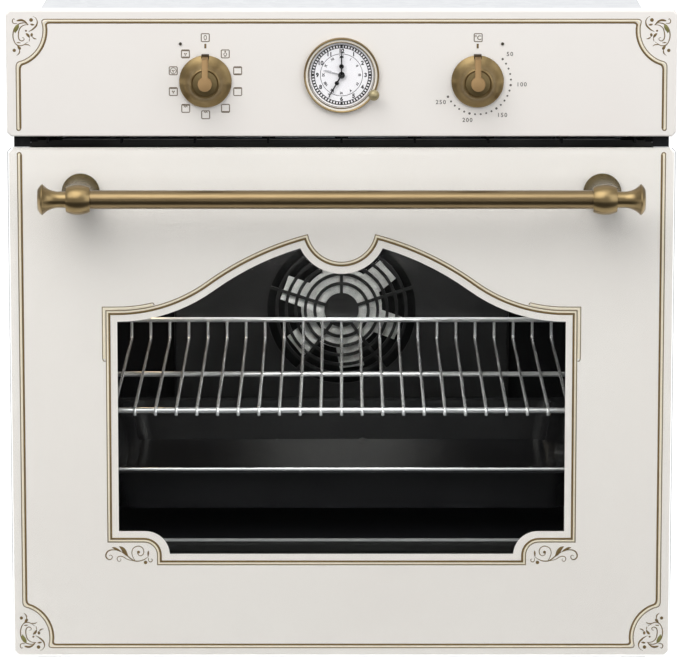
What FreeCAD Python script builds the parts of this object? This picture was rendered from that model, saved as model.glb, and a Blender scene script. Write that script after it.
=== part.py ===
import FreeCAD, Part
import math
import os

# Built-in single oven, modelled in millimetres with +Z up.
# X runs to the right, Y runs into the oven, and the door front is the plane Y = 0 while modelling.
# Every solid is moved along Y on export, so the origin is the bottom centre of the whole part.

# Front, as fitted in a 60 cm kitchen unit
FRONT_WIDTH = 594.0
DOOR_BOTTOM = 3.0
DOOR_HEIGHT = 465.0
VENT_GAP = 10.0
PANEL_HEIGHT = 112.5
PANEL_DEPTH = 20.0
PANEL_WALL = 1.5
CORNER_CUT = 3.6
EDGE_ROUND = 1.4

# Casing behind the front
BODY_INSET = 19.0
BODY_DROP = 18.5
BODY_BACK = 567.0
SHEET = 1.0
TRAY_UPTURN = 30.0
TRAY_SETBACK = 2.0
CASING_LIP = 12.0
CABINET_FACE = 23.0
FLANGE_INSET = 6.0
FLANGE_HEAD = 4.0
FLANGE_LIFT = 6.0
FRAME_SHEET = 1.2
CABINET_HOLE_RADIUS = 2.25
CABINET_HOLE_LOW = 60.0
CABINET_HOLE_DROP = 48.0
SEAT_GAP = 0.3

# Air slots in the casing
FLOOR_SLOT_HALF = 12.0
FLOOR_SLOT_PITCH = 40.0
FLOOR_SLOT_ROW = 24.0
FLOOR_SLOT_INSET = 60.0
SLOT_HALF = 3.0
LOUVRE_FAR = 120.0
LOUVRE_NEAR = 50.0
LOUVRE_LOW = 90.0
LOUVRE_PITCH = 20.0
LOUVRES = 6
LID_SLOT_HALF = 70.0
LID_SLOT_PITCH = 14.0
BACK_SLOT_HALF = 32.0
BACK_SLOT_PITCH = 90.0
BACK_SLOT_DROP = 70.0
BACK_SLOT_ROW = 20.0

# Door stack, front to back
GLASS = 4.0
ENAMEL = 0.3
COLUMN_DEPTH = 26.7
COLUMN_SHEET = 1.2
COLUMN_INSET = 29.0
COLUMN_WIDTH = 58.0
COLUMN_SLOT = 16.0
COLUMN_FOOT = 5.0
COLUMN_HEAD = 6.0
MID_GLASS = 3.0
MID_GLASS_FRONT = 16.0
INNER_GLASS_INSET = 38.0
INNER_GLASS_BOTTOM = 60.0
TRIM_HEIGHT = 16.0
RAIL_GAP = 2.0
DOOR_SLOT_HALF = 20.0
DOOR_SLOT_SIDE = 3
DOOR_SLOT_EDGE = 29.7
DOOR_SLOT_MARGIN = 8.0
SEAL_GAP = 0.5
GASKET_DEPTH = 6.5
GASKET_WIDTH = 9.0
GASKET_INSET = 3.0

# Shaped window in the enamel print
WINDOW_SIDE = 96.3
WINDOW_BOTTOM = 98.0
WINDOW_DROP = 157.4
NOTCH_FLAT = 22.5
NOTCH_HEIGHT = 20.9
NOTCH_RUN = 23.3
OGEE_TURN = 36.0
OGEE_LOW_RADIUS = 146.7
OGEE_HIGH_RADIUS = 259.0
SCOOP_HALF = 36.8
SCOOP_RADIUS = 40.8

# Door hinges
HINGE_INSET = 46.0
HINGE_Y = 16.0
HINGE_Z = 20.0
PIN_RADIUS = 3.0
RUNNING_FIT = 0.05
STATIC_FIT = 0.02
CLAW_THICK = 6.0
CLAW_HEIGHT = 14.0
CLAW_EYE = 7.0
CLAW_REACH = 40.0
CLAW_HOOK = 22.0
CHEEK_SHEET = 2.5
CHEEK_GAP = 2.5
HINGE_BODY_HEIGHT = 150.0
HINGE_FOOT = 5.0
RECEIVER_DEPTH = 46.0
RECEIVER_HEIGHT = 30.0
RECEIVER_SHEET = 1.5
RECEIVER_WING = 7.0
SPRING_RADIUS = 5.0
SPRING_LENGTH = 95.0
SPRING_TURNS = 16
SPRING_GROOVE = 1.4

# Handle
HANDLE_DROP = 40.0
HANDLE_AXIS = 45.0
HANDLE_INSET = 65.0
HANDLE_RADIUS = 8.25
POST_FLANGE_RADIUS = 17.0
POST_FLANGE = 5.0
POST_NECK_RADIUS = 9.5
COLLAR_RADIUS = 12.5
COLLAR_WIDTH = 21.0
COLLAR_BEVEL = 2.5
FINIAL_LENGTH = 25.0
FINIAL_NECK = 6.0
FINIAL_RADIUS = 13.75
FINIAL_RING = 3.0
FINIAL_LIP = 2.0
HANDLE_STUD = 3.0
HANDLE_STUD_REACH = 8.0

# Cavity
WALL_SPACE = 38.0
CAVITY_FLOOR = 104.0
CAVITY_CLEAR = 24.0
SERVICE_DEPTH = 111.8
CAVITY_RADIUS = 18.0
CAVITY_LIP = 9.0
INSULATION = 24.0
WOOL_GAP = 2.0

# Racks, shelf and tray
WIRE = 2.5
WELD = 0.4
RUNNER_INSET = 12.0
RUNNER_RISE = 54.0
RUNNER_HEADROOM = 64.8
RUNNER_LEVELS = 5
RACK_FRONT_GAP = 20.8
RACK_BACK_GAP = 35.2
RACK_UPRIGHT_INSET = 18.0
RACK_MARGIN = 14.0
SHELF_RAIL = 3.0
SHELF_RAIL_INSET = 14.0
SHELF_FRONT_GAP = 18.8
SHELF_BACK_GAP = 8.2
SHELF_BAR = 1.5
SHELF_BAR_EDGE = 19.2
SHELF_BAR_SIDE = 11
SHELF_BAR_SINK = 1.0
SHELF_BACK_RISE = 21.0
SHELF_TOOTH = 6.0
SHELF_TOOTH_WELD = 0.8
SHELF_BEND = 4.0
SHELF_OVERRUN = 3.5
TRAY_RIM_INSET = 11.0
TRAY_SLOPE = 8.0
TRAY_DEPTH = 38.0
TRAY_FRONT_GAP = 16.8
TRAY_BACK_GAP = 9.2
TRAY_SHEET = 1.0
TRAY_RIM = 14.0
TRAY_CORNER = 20.0

# Fan, grille and heaters
BAFFLE_SIDE = 75.0
BAFFLE_FOOT = 28.0
BAFFLE_HEAD = 80.0
BAFFLE_DEPTH = 22.0
BAFFLE_SHEET = 1.2
BAFFLE_ROUND = 22.0
OUTLET_SHARE = 0.45
OUTLET_HALF_SHARE = 0.293
OUTLET_FRONT = 6.0
OUTLET_BACK = 4.0
GRILLE_HUB = 17.0
GRILLE_PITCH = 9.4
GRILLE_RINGS = 5
GRILLE_BAR = 3.0
GRILLE_DEPTH = 2.2
GRILLE_SPOKES = 5
GRILLE_SPOKE_TURN = 54.0
FAN_RADIUS = 62.0
FAN_HUB = 11.0
FAN_BLADES = 10
FAN_BLADE_DEPTH = 11.0
FAN_BLADE_START = 8.0
FAN_BLADE_TURN = 24.0
FAN_CLEAR = 3.0
BLADE = 1.2
SHAFT_RADIUS = 3.0
SHAFT_ROOM = 2.0
MOTOR_RADIUS = 32.0
MOTOR_LENGTH = 40.0
MOTOR_STAND = 26.0
MOTOR_PLATE_RADIUS = 55.0
MOTOR_POST_RADIUS = 4.0
MOTOR_POST_CIRCLE = 44.0
MOTOR_WELL = 50.0
CORE_SIDE = 8.0
CORE_HALF = 26.0
CORE_FRONT = 10.0
CORE_DEPTH = 16.0
HEATER_RADIUS = 3.25
HEATER_TAIL = 15.0
RING_MARGIN = 24.0
RING_STUB = 14.0
GRILL_DROP = 12.0
GRILL_SIDE = 65.0
GRILL_FRONT_GAP = 28.8
GRILL_BACK_GAP = 75.2
STRAP_HALF = 2.0
STRAP_WIDTH = 12.0

# Lamp and probe on the rear wall
LAMP_INSET = 50.0
LAMP_DROP = 59.0
LAMP_RADIUS = 20.0
LAMP_DOME = 16.0
LAMP_RIM = 5.0
LAMP_NECK = 14.0
LAMP_LENGTH = 44.0
LAMP_FLANGE = 2.0
LAMP_ROOM = 4.0
PROBE_RADIUS = 3.0
PROBE_DROP = 42.0
PROBE_LEFT = 40.0
PROBE_INSET = 35.0
PROBE_STAND = 9.0
PROBE_CLIP = 20.0

# Cooling blower
DUCT_SHEET = 1.0
DUCT_HEIGHT = 33.0
DUCT_MOUTH = 9.0
DUCT_MOUTH_INSET = 28.0
DUCT_STRAIGHT = 120.0
BLOWER_BACK = 167.0
BLOWER_RADIUS = 60.0
BLOWER_CLEAR = 14.0
BLOWER_HEIGHT = 20.0
BLOWER_LIFT = 3.0
BLOWER_BLADES = 16
BLOWER_BLADE = 16.0
BLOWER_BLADE_TURN = 30.0
BLOWER_INLET = 46.0
BLOWER_MOTOR_STAND = 14.0
BLOWER_MOTOR_RADIUS = 30.0
BLOWER_MOTOR_HEIGHT = 36.0
BLOWER_LEG_REACH = 6.0
BLOWER_PLATE_EDGE = 5.0

# Controls
KNOB_X = 120.5
KNOB_RISE_SHARE = 0.44
KNOB_RADIUS = 23.25
KNOB_GAP = 1.5
KNOB_SKIRT = 2.5
KNOB_EDGE = 0.8
KNOB_HUB = 12.0
KNOB_HEIGHT = 19.0
POINTER_HEIGHT = 28.5
POINTER_BULB = 6.3
POINTER_WIDTH = 5.9
POINTER_TAB = 1.2
SPINDLE_RADIUS = 3.0
SPINDLE_HOLE = 5.0
SWITCH_SIZE = 40.0
SWITCH_DEPTH = 36.0
SWITCH_NOSE = 9.0
SWITCH_NOSE_REACH = 5.0
SWITCH_STEP = 10.0
TAG_WIDTH = 6.0
TAG_SHEET = 0.8
TAG_LENGTH = 8.0
TAG_PITCH = 8.0
TAG_ROW = 12.0
CARRIER_SHEET = 1.2
CARRIER_RETURN = 46.0
CARRIER_FOOT = 4.0
PANEL_STUD = 3.0
STUD_SIDE = 92.0
STUD_INSET = 24.0
PILOT_X = 142.5
PILOT_DROP = 29.8
PILOT_RADIUS = 1.4
PILOT_PROUD = 0.8
RIB_MARGIN = 35.4
RIB_SIDE = 4
RIB_WIDTH = 2.0
RIB_FRONT = 12.0
RIB_CLEAR = 6.0
VENT_SLOT = 4.6
VENT_TRIM_SHEET = 1.2
VENT_DROP = 7.5

# Clock
CLOCK_RISE_SHARE = 22.0 / 45.0
CLOCK_RADIUS = 33.4
CLOCK_OPEN = 29.3
CLOCK_PROUD = 5.0
CLOCK_CASE = 31.0
CLOCK_CASE_DEPTH = 42.0
CLOCK_FLANGE = 37.5
DIAL = 1.0
DIAL_LAP = 0.7
LENS = 1.2
LENS_SHARE = 0.84
HAND = 0.5
HAND_STEP = 1.0
HAND_CLEAR = 0.4
MINUTE_LENGTH = 23.4
MINUTE_WIDTH = 1.5
MINUTE_TAIL = 16.0
HOUR_LENGTH = 20.5
HOUR_WIDTH = 1.9
HOUR_TAIL = 12.0
HOUR_TURN = 7 * 30.0
ALARM_LENGTH = 17.0
ALARM_WIDTH = 1.0
ALARM_TAIL = 8.0
ALARM_TURN = 9.5 * 30.0 + 1.0
ARBOR = 0.7
TUBE_WALL = 0.55
SETTING_ANGLE = 120.0
SETTING_CIRCLE = 33.0
SETTING_BALL = 4.9
SETTING_STEM = 1.2
SETTING_SLEEVE = 2.0
SETTING_TRAVEL = 2.0
SETTING_BOSS = 4.0
SETTING_ROOM = 0.6
SETTING_GUIDE = 9.0
SLEEVE_TAIL = 10.0
STEM_TAIL = 14.0

# Mains entry and screws on the back
TERMINAL_SIDE = 98.0
TERMINAL_DROP = 52.0
TERMINAL_SIZE = 60.0
TERMINAL_DEPTH = 28.0
TERMINAL_WELL = 10.0
GLAND_RADIUS = 12.0
GLAND_STEP = 3.0
GLAND_BORE = 5.0
GLAND_DROP = 55.0
GLAND_LENGTH = 16.0
SCREW_RADIUS = 1.5
SCREW_LENGTH = 8.0
SCREW_HEAD = 3.6
SCREW_HEAD_HEIGHT = 2.0
SCREW_ROWS = 4
SCREW_INSET = 6.0
SCREW_END = 30.0

# Places across the oven that follow from the sizes above
V = FreeCAD.Vector
ALONG_X = V(1, 0, 0)
ALONG_Y = V(0, 1, 0)
ALONG_Z = V(0, 0, 1)
FRONT_HALF = FRONT_WIDTH / 2
BODY_HALF = FRONT_HALF - BODY_INSET
CASING_HALF = BODY_HALF - SHEET
FLANGE_OUTER = FRONT_HALF - FLANGE_INSET
FLANGE_INNER = BODY_HALF + SEAT_GAP
FLANGE_HOLE_X = (FLANGE_INNER + FRAME_SHEET + FLANGE_OUTER) / 2
COLUMN_OUTER = FRONT_HALF - COLUMN_INSET
COLUMN_INNER = COLUMN_OUTER - COLUMN_WIDTH
INNER_GLASS_HALF = FRONT_HALF - INNER_GLASS_INSET
RAIL_HALF = COLUMN_INNER - SEAT_GAP
DOOR_SLOT_PITCH = (RAIL_HALF - DOOR_SLOT_EDGE) / DOOR_SLOT_SIDE
WINDOW_HALF = FRONT_HALF - WINDOW_SIDE
HINGE_X = FRONT_HALF - HINGE_INSET
CHEEK_INNER = CLAW_THICK / 2 + CHEEK_GAP
CHEEK_OUTER = CHEEK_INNER + CHEEK_SHEET
HANDLE_POST_X = FRONT_HALF - HANDLE_INSET
CAVITY_HALF = BODY_HALF - WALL_SPACE
RUNNER_X = CAVITY_HALF - RUNNER_INSET
RACK_X = RUNNER_X + 2 * WIRE - WELD
SHELF_RAIL_X = CAVITY_HALF - SHELF_RAIL_INSET
SHELF_BAR_PITCH = (SHELF_RAIL_X - SHELF_BAR_EDGE) / SHELF_BAR_SIDE
TRAY_RIM_HALF = CAVITY_HALF - TRAY_RIM_INSET
TRAY_WALL_HALF = TRAY_RIM_HALF - TRAY_RIM
TRAY_FLOOR_HALF = TRAY_WALL_HALF - TRAY_SLOPE
BAFFLE_HALF = CAVITY_HALF - BAFFLE_SIDE
GRILL_LANE = (CAVITY_HALF - GRILL_SIDE) / 2.5
LAMP_X = LAMP_INSET - CAVITY_HALF
PROBE_RIGHT = CAVITY_HALF - PROBE_INSET
DUCT_MOUTH_HALF = BODY_HALF - DUCT_MOUTH_INSET
STUD_X = FRONT_HALF - STUD_SIDE
RIB_PITCH = (FRONT_HALF - RIB_MARGIN) / RIB_SIDE
TERMINAL_X = BODY_HALF - TERMINAL_SIDE
SETTING_X = SETTING_CIRCLE * math.sin(math.radians(SETTING_ANGLE))
GRILLE_OPEN = GRILLE_HUB + GRILLE_PITCH * (GRILLE_RINGS + 1)
TUBE_HOUR = ARBOR + TUBE_WALL + RUNNING_FIT
TUBE_ALARM = TUBE_HOUR + TUBE_WALL + RUNNING_FIT

# Places from front to back
BACK_INNER = BODY_BACK - SHEET
COLUMN_FRONT = GLASS + ENAMEL
COLUMN_BACK = COLUMN_FRONT + COLUMN_DEPTH
INNER_BACK = COLUMN_BACK + GLASS
HINGE_WEB = COLUMN_FRONT + COLUMN_SHEET
FRAME_FRONT = INNER_BACK + SEAL_GAP + GASKET_DEPTH
FRAME_BACK = FRAME_FRONT + FRAME_SHEET
FLANGE_BACK = CABINET_FACE + FRAME_SHEET
CAVITY_BACK = BODY_BACK - SERVICE_DEPTH
WALL_BACK = CAVITY_BACK + FRAME_SHEET
JACKET_BACK = WALL_BACK + SEAT_GAP + INSULATION
MOTOR_FRONT = WALL_BACK + MOTOR_STAND
BAFFLE_FRONT = CAVITY_BACK - BAFFLE_DEPTH
RACK_FRONT = FRAME_BACK + RACK_FRONT_GAP
RACK_BACK = CAVITY_BACK - RACK_BACK_GAP
SHELF_FRONT = FRAME_BACK + SHELF_FRONT_GAP
SHELF_BACK = BAFFLE_FRONT - SHELF_BACK_GAP
TRAY_FRONT = FRAME_BACK + TRAY_FRONT_GAP
TRAY_BACK = BAFFLE_FRONT - TRAY_BACK_GAP
GRILL_FRONT = FRAME_BACK + GRILL_FRONT_GAP
GRILL_TURN_BACK = CAVITY_BACK - GRILL_BACK_GAP
BLOWER_Y = BODY_BACK - BLOWER_BACK
RECEIVER_PIN_Y = FRAME_BACK + CLAW_HOOK
CARRIER_BACK = PANEL_DEPTH + CARRIER_SHEET
CASE_FRONT = PANEL_WALL
DIAL_FRONT = CASE_FRONT - DIAL
SETTING_FRONT = -CLOCK_PROUD - SETTING_TRAVEL - SETTING_ROOM
HANDLE_REACH = HANDLE_AXIS + FINIAL_RADIUS
CENTRE_Y = (BODY_BACK + SCREW_HEAD_HEIGHT - HANDLE_REACH) / 2

# Places from bottom to top
DOOR_TOP = DOOR_BOTTOM + DOOR_HEIGHT
PANEL_BOTTOM = DOOR_TOP + VENT_GAP
PANEL_TOP = PANEL_BOTTOM + PANEL_HEIGHT
BODY_HEIGHT = PANEL_TOP - BODY_DROP
TOP_INNER = BODY_HEIGHT - SHEET
FLANGE_BOTTOM = HINGE_Z - (HINGE_Y - COLUMN_FRONT) + FLANGE_LIFT
FLANGE_TOP = DOOR_TOP - FLANGE_HEAD
CABINET_HOLE_HIGH = DOOR_TOP - CABINET_HOLE_DROP
COLUMN_LOW = DOOR_BOTTOM + COLUMN_FOOT
COLUMN_HIGH = DOOR_TOP - COLUMN_HEAD
TRIM_LOW = COLUMN_HIGH - TRIM_HEIGHT
RAIL_TOP = INNER_GLASS_BOTTOM - RAIL_GAP
WINDOW_SIDE_TOP = DOOR_TOP - WINDOW_DROP
HANDLE_Z = DOOR_TOP - HANDLE_DROP
CLAW_LOW = HINGE_Z - CLAW_HEIGHT / 2
HINGE_LOW = HINGE_Z - PIN_RADIUS - HINGE_FOOT
CAVITY_TOP = DOOR_TOP - CAVITY_CLEAR
JACKET_GROW = SHEET + SEAT_GAP + INSULATION
JACKET_TOP = CAVITY_TOP + JACKET_GROW
FRAME_TOP = JACKET_TOP
DUCT_FLOOR = JACKET_TOP + SEAT_GAP
DUCT_ROOF = DUCT_FLOOR + DUCT_HEIGHT
RUNNER_LOW = CAVITY_FLOOR + RUNNER_RISE
RUNNER_PITCH = (CAVITY_TOP - RUNNER_HEADROOM - RUNNER_LOW) / (RUNNER_LEVELS - 1)
SHELF_LIFT = math.sqrt((SHELF_RAIL + WIRE + SEAT_GAP) ** 2 - (RUNNER_X - SHELF_RAIL_X) ** 2)
SHELF_Z = RUNNER_LOW + RUNNER_PITCH + SHELF_LIFT
TRAY_UNDER = RUNNER_LOW + WIRE + SEAT_GAP
TRAY_TOP = TRAY_UNDER + TRAY_SHEET
BAFFLE_HALF_HEIGHT = (CAVITY_TOP - CAVITY_FLOOR - BAFFLE_FOOT - BAFFLE_HEAD) / 2
FAN_Z = CAVITY_FLOOR + BAFFLE_FOOT + BAFFLE_HALF_HEIGHT
RING_HEATER = BAFFLE_HALF_HEIGHT - RING_MARGIN
LAMP_Z = CAVITY_TOP - LAMP_DROP
PROBE_Z = CAVITY_TOP - PROBE_DROP
KNOB_Z = PANEL_BOTTOM + PANEL_HEIGHT * KNOB_RISE_SHARE
CLOCK_Z = PANEL_BOTTOM + PANEL_HEIGHT * CLOCK_RISE_SHARE
PILOT_Z = PANEL_TOP - PILOT_DROP
SETTING_Z = CLOCK_Z + SETTING_CIRCLE * math.cos(math.radians(SETTING_ANGLE))
TERMINAL_Z = BODY_HEIGHT - TERMINAL_DROP


# Small building blocks


def block(x0, x1, y0, y1, z0, z1):
    """Box between two corners."""
    return Part.makeBox(x1 - x0, y1 - y0, z1 - z0, V(x0, y0, z0))


def rod(radius, start, end):
    """Round bar between two points."""
    return Part.makeCylinder(radius, (end - start).Length, start, end - start)


def disc(radius, x, z, y0, y1):
    """Round plug along Y."""
    return rod(radius, V(x, y0, z), V(x, y1, z))


def ring(outer, inner, x, z, y0, y1):
    """Flat ring along Y."""
    return disc(outer, x, z, y0, y1).cut(disc(inner, x, z, y0 - 1, y1 + 1))


def mirrored(shape):
    """The same piece on the other side of the oven."""
    return shape.mirror(V(0, 0, 0), ALONG_X)


def pair(shape):
    """A right-hand piece and its left-hand twin as separate solids."""
    return Part.makeCompound([shape, mirrored(shape)])


def fused(first, others):
    """One solid from pieces that are welded or pressed in one."""
    return first.multiFuse(others).removeSplitter()


def prism_y(wire, y0, y1):
    """A closed outline in the XZ plane pulled from y0 to y1."""
    face = Part.Face(wire)
    solid = face.extrude(V(0, y1 - y0, 0))
    solid.translate(V(0, y0, 0))
    return solid


def cut_corner_prism(half, z0, z1, corner, y0, y1):
    """A front plate whose four corners are cut off."""
    points = [
        V(-half + corner, 0, z0), V(half - corner, 0, z0), V(half, 0, z0 + corner), V(half, 0, z1 - corner),
        V(half - corner, 0, z1), V(-half + corner, 0, z1), V(-half, 0, z1 - corner), V(-half, 0, z0 + corner),
    ]
    return prism_y(Part.makePolygon(points + points[:1]), y0, y1)


def round_prism(half, z0, z1, radius, y0, y1):
    """A rounded rectangle in the XZ plane pulled from y0 to y1."""
    solid = block(-half, half, y0, y1, z0, z1)
    edges = [edge for edge in solid.Edges if abs(edge.tangentAt(edge.FirstParameter).y) > 0.99]
    return solid.makeFillet(radius, edges)


def round_front(solid, radius, y):
    """Round the edges of a plate that lie in the plane at y."""
    edges = [edge for edge in solid.Edges if edge.BoundBox.YMax < y + 0.01 and edge.BoundBox.YMin > y - 0.01]
    return solid.makeFillet(radius, edges)


def turned(profile, x, z, along=ALONG_Y):
    """A round piece from (radius, height) points, turned about a line along Y or Z."""
    if along == ALONG_Y:
        points = [V(x + radius, height, z) for radius, height in profile]
        base = V(x, 0, z)
    else:
        points = [V(x + radius, z, height) for radius, height in profile]
        base = V(x, z, 0)
    face = Part.Face(Part.makePolygon(points + points[:1]))
    return face.revolve(base, along, 360)


def bent_wire(points, radius, bend):
    """A round bar swept along straight runs with rounded corners."""
    edges = []
    start = points[0]
    for before, corner, after in zip(points, points[1:], points[2:]):
        into = (corner - before).normalize()
        out = (after - corner).normalize()
        half_turn = into.getAngle(out) / 2
        setback = bend * math.tan(half_turn)
        first = corner - into * setback
        last = corner + out * setback
        inward = (out - into).normalize()
        middle = corner + inward * (bend / math.cos(half_turn) - bend)
        edges.append(Part.LineSegment(start, first).toShape())
        edges.append(Part.Arc(first, middle, last).toShape())
        start = last
    edges.append(Part.LineSegment(start, points[-1]).toShape())
    path = Part.Wire(edges)
    section = Part.Wire(Part.makeCircle(radius, points[0], (points[1] - points[0]).normalize()))
    return path.makePipe(Part.Face(section))


def spread(shape, count, centre, axis, first=0.0):
    """Copies of a piece at equal turns about an axis."""
    copies = []
    for index in range(count):
        copy = shape.copy()
        copy.rotate(centre, axis, first + index * 360.0 / count)
        copies.append(copy)
    return copies


# Casing


def base_tray():
    """Floor pan that the oven stands on, with turned-up sides and cooling slots."""
    front = FRAME_FRONT - TRAY_SETBACK
    floor = block(-CASING_HALF, CASING_HALF, front, BACK_INNER, 0, SHEET)
    side = block(CASING_HALF - SHEET, CASING_HALF, FRAME_BACK + SHEET, BACK_INNER, 0, TRAY_UPTURN)
    back = block(-CASING_HALF, CASING_HALF, BACK_INNER - SHEET, BACK_INNER, 0, TRAY_UPTURN)
    pan = fused(floor, [side, mirrored(side), back])
    slots = []
    for row in range(3):
        for column in range(-4, 5):
            x = column * FLOOR_SLOT_PITCH
            y = BACK_INNER - FLOOR_SLOT_INSET - row * FLOOR_SLOT_ROW
            slots.append(block(x - FLOOR_SLOT_HALF, x + FLOOR_SLOT_HALF, y - SLOT_HALF, y + SLOT_HALF,
                               -1, SHEET + 1))
    return pan.cut(Part.makeCompound(slots))


def side_casing():
    """Right side sheet with a top lip and a rear lip, cut back to stand behind the front frame."""
    wall = block(CASING_HALF, BODY_HALF, FLANGE_BACK, BACK_INNER, 0, TOP_INNER)
    lip_front = CARRIER_BACK + CARRIER_RETURN + SHEET
    top = block(CASING_HALF - CASING_LIP, CASING_HALF, lip_front, BACK_INNER, TOP_INNER - SHEET, TOP_INNER)
    rear_low = TRAY_UPTURN + SHEET
    rear = block(CASING_HALF - CASING_LIP, CASING_HALF, BACK_INNER - SHEET, BACK_INNER, rear_low, TOP_INNER)
    notch = block(0, FRONT_HALF, 0, FRAME_BACK, -1, FRAME_TOP)
    holes = [disc(SCREW_RADIUS + STATIC_FIT, x, z, BACK_INNER - SCREW_LENGTH - 1, BODY_BACK + 1)
             for x, z in screw_places() if x > 0]
    louvres = []
    for index in range(LOUVRES):
        z = LOUVRE_LOW + index * LOUVRE_PITCH
        louvres.append(block(CASING_HALF - 1, BODY_HALF + 1, BACK_INNER - LOUVRE_FAR, BACK_INNER - LOUVRE_NEAR,
                             z - SLOT_HALF, z + SLOT_HALF))
    return fused(wall, [top, rear]).cut(Part.makeCompound([notch] + holes + louvres))


def top_cover():
    """Lid sheet with a slot field over the blower."""
    lid = block(-BODY_HALF, BODY_HALF, FLANGE_BACK, BACK_INNER, TOP_INNER, BODY_HEIGHT)
    slots = []
    for row in range(-4, 5):
        y = BLOWER_Y + row * LID_SLOT_PITCH
        slots.append(block(-LID_SLOT_HALF, LID_SLOT_HALF, y - SLOT_HALF, y + SLOT_HALF,
                           TOP_INNER - 1, BODY_HEIGHT + 1))
    return lid.cut(Part.makeCompound(slots))


def rear_cover():
    """Back sheet with air slots, the cable hole and screw holes."""
    sheet = block(-BODY_HALF, BODY_HALF, BACK_INNER, BODY_BACK, 0, BODY_HEIGHT)
    cuts = [disc(GLAND_RADIUS - GLAND_STEP, TERMINAL_X, TERMINAL_Z - GLAND_DROP, BACK_INNER - 1, BODY_BACK + 1)]
    for x, z in screw_places():
        cuts.append(disc(SCREW_RADIUS + STATIC_FIT, x, z, BACK_INNER - 1, BODY_BACK + 1))
    for row in range(8):
        for column in (-1, 0, 1):
            x = column * BACK_SLOT_PITCH
            z = FAN_Z - BACK_SLOT_DROP + row * BACK_SLOT_ROW
            cuts.append(block(x - BACK_SLOT_HALF, x + BACK_SLOT_HALF, BACK_INNER - 1, BODY_BACK + 1,
                              z - SLOT_HALF, z + SLOT_HALF))
    return sheet.cut(Part.makeCompound(cuts))


def screw_places():
    """Centres of the screws that hold the back sheet to the side casings."""
    low = TRAY_UPTURN + SCREW_END
    step = (TOP_INNER - SCREW_END - low) / (SCREW_ROWS - 1)
    return [(side * (CASING_HALF - SCREW_INSET), low + row * step)
            for side in (-1, 1) for row in range(SCREW_ROWS)]


def casing_screws():
    """Pan-head screws in the back sheet, one solid each."""
    screws = []
    for x, z in screw_places():
        crown = BODY_BACK + SCREW_HEAD_HEIGHT
        edge = BODY_BACK + SCREW_HEAD_HEIGHT * 0.4
        tip = BACK_INNER - SCREW_LENGTH
        profile = [(0, crown), (SCREW_HEAD * 0.6, crown), (SCREW_HEAD, edge), (SCREW_HEAD, BODY_BACK),
                   (SCREW_RADIUS, BODY_BACK), (SCREW_RADIUS, tip), (0, tip)]
        screws.append(turned(profile, x, z))
    return Part.makeCompound(screws)


def front_frame():
    """Pressed front of the chassis: cavity opening, hinge slots and the flanges that meet the cabinet."""
    wide = FLANGE_INNER + FRAME_SHEET
    plate = block(-wide, wide, FRAME_FRONT, FRAME_BACK, SHEET, FRAME_TOP)
    wing = block(FLANGE_INNER, wide, CABINET_FACE, FRAME_BACK, FLANGE_BOTTOM, FLANGE_TOP)
    flange = block(FLANGE_INNER, FLANGE_OUTER, CABINET_FACE, FLANGE_BACK, FLANGE_BOTTOM, FLANGE_TOP)
    frame = fused(plate, [wing, mirrored(wing), flange, mirrored(flange)])
    cuts = [round_prism(CAVITY_HALF, CAVITY_FLOOR, CAVITY_TOP, CAVITY_RADIUS, FRAME_FRONT - 1, FRAME_BACK + 1)]
    for side in (-1, 1):
        x = side * HINGE_X
        half = CLAW_THICK / 2 + SHEET
        room = CLAW_HEIGHT / 2 + 2 * SHEET
        cuts.append(block(x - half, x + half, FRAME_FRONT - 1, FRAME_BACK + 1, HINGE_Z - room, HINGE_Z + room))
        for z in (CABINET_HOLE_LOW, CABINET_HOLE_HIGH):
            cuts.append(disc(CABINET_HOLE_RADIUS, side * FLANGE_HOLE_X, z, CABINET_FACE - 1, FLANGE_BACK + 1))
    return frame.cut(Part.makeCompound(cuts))


# Cavity


def cavity_shell():
    """Enamelled oven box, open at the front and back, with a lip behind the front frame."""
    half = CAVITY_HALF
    tube = round_prism(half + SHEET, CAVITY_FLOOR - SHEET, CAVITY_TOP + SHEET, CAVITY_RADIUS + SHEET,
                       FRAME_BACK, CAVITY_BACK)
    lip = round_prism(half + CAVITY_LIP, CAVITY_FLOOR - CAVITY_LIP, CAVITY_TOP + CAVITY_LIP,
                      CAVITY_RADIUS + CAVITY_LIP, FRAME_BACK, FRAME_BACK + SHEET)
    hollow = round_prism(half, CAVITY_FLOOR, CAVITY_TOP, CAVITY_RADIUS, FRAME_BACK - 1, CAVITY_BACK + 1)
    return fused(tube, [lip]).cut(hollow)


def heater_holes(room, y0, y1):
    """Round holes for the heater ends in whatever lies between y0 and y1."""
    radius = HEATER_RADIUS + room
    grill_z = CAVITY_TOP - GRILL_DROP
    low = FAN_Z - RING_HEATER
    places = [(-GRILL_LANE / 2, grill_z), (GRILL_LANE / 2, grill_z), (-RING_STUB, low), (RING_STUB, low)]
    return [disc(radius, x, z, y0, y1) for x, z in places]


def cavity_rear_wall():
    """Back of the oven box with holes for the fan shaft, the lamp and the heater ends."""
    wall = round_prism(CAVITY_HALF + SHEET, CAVITY_FLOOR - SHEET, CAVITY_TOP + SHEET, CAVITY_RADIUS + SHEET,
                       CAVITY_BACK, WALL_BACK)
    cuts = heater_holes(SEAT_GAP, CAVITY_BACK - 1, WALL_BACK + 1)
    cuts.append(disc(SHAFT_RADIUS + SHAFT_ROOM, 0, FAN_Z, CAVITY_BACK - 1, WALL_BACK + 1))
    cuts.append(disc(LAMP_NECK + SEAT_GAP, LAMP_X, LAMP_Z, CAVITY_BACK - 1, WALL_BACK + 1))
    return wall.cut(Part.makeCompound(cuts))


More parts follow.
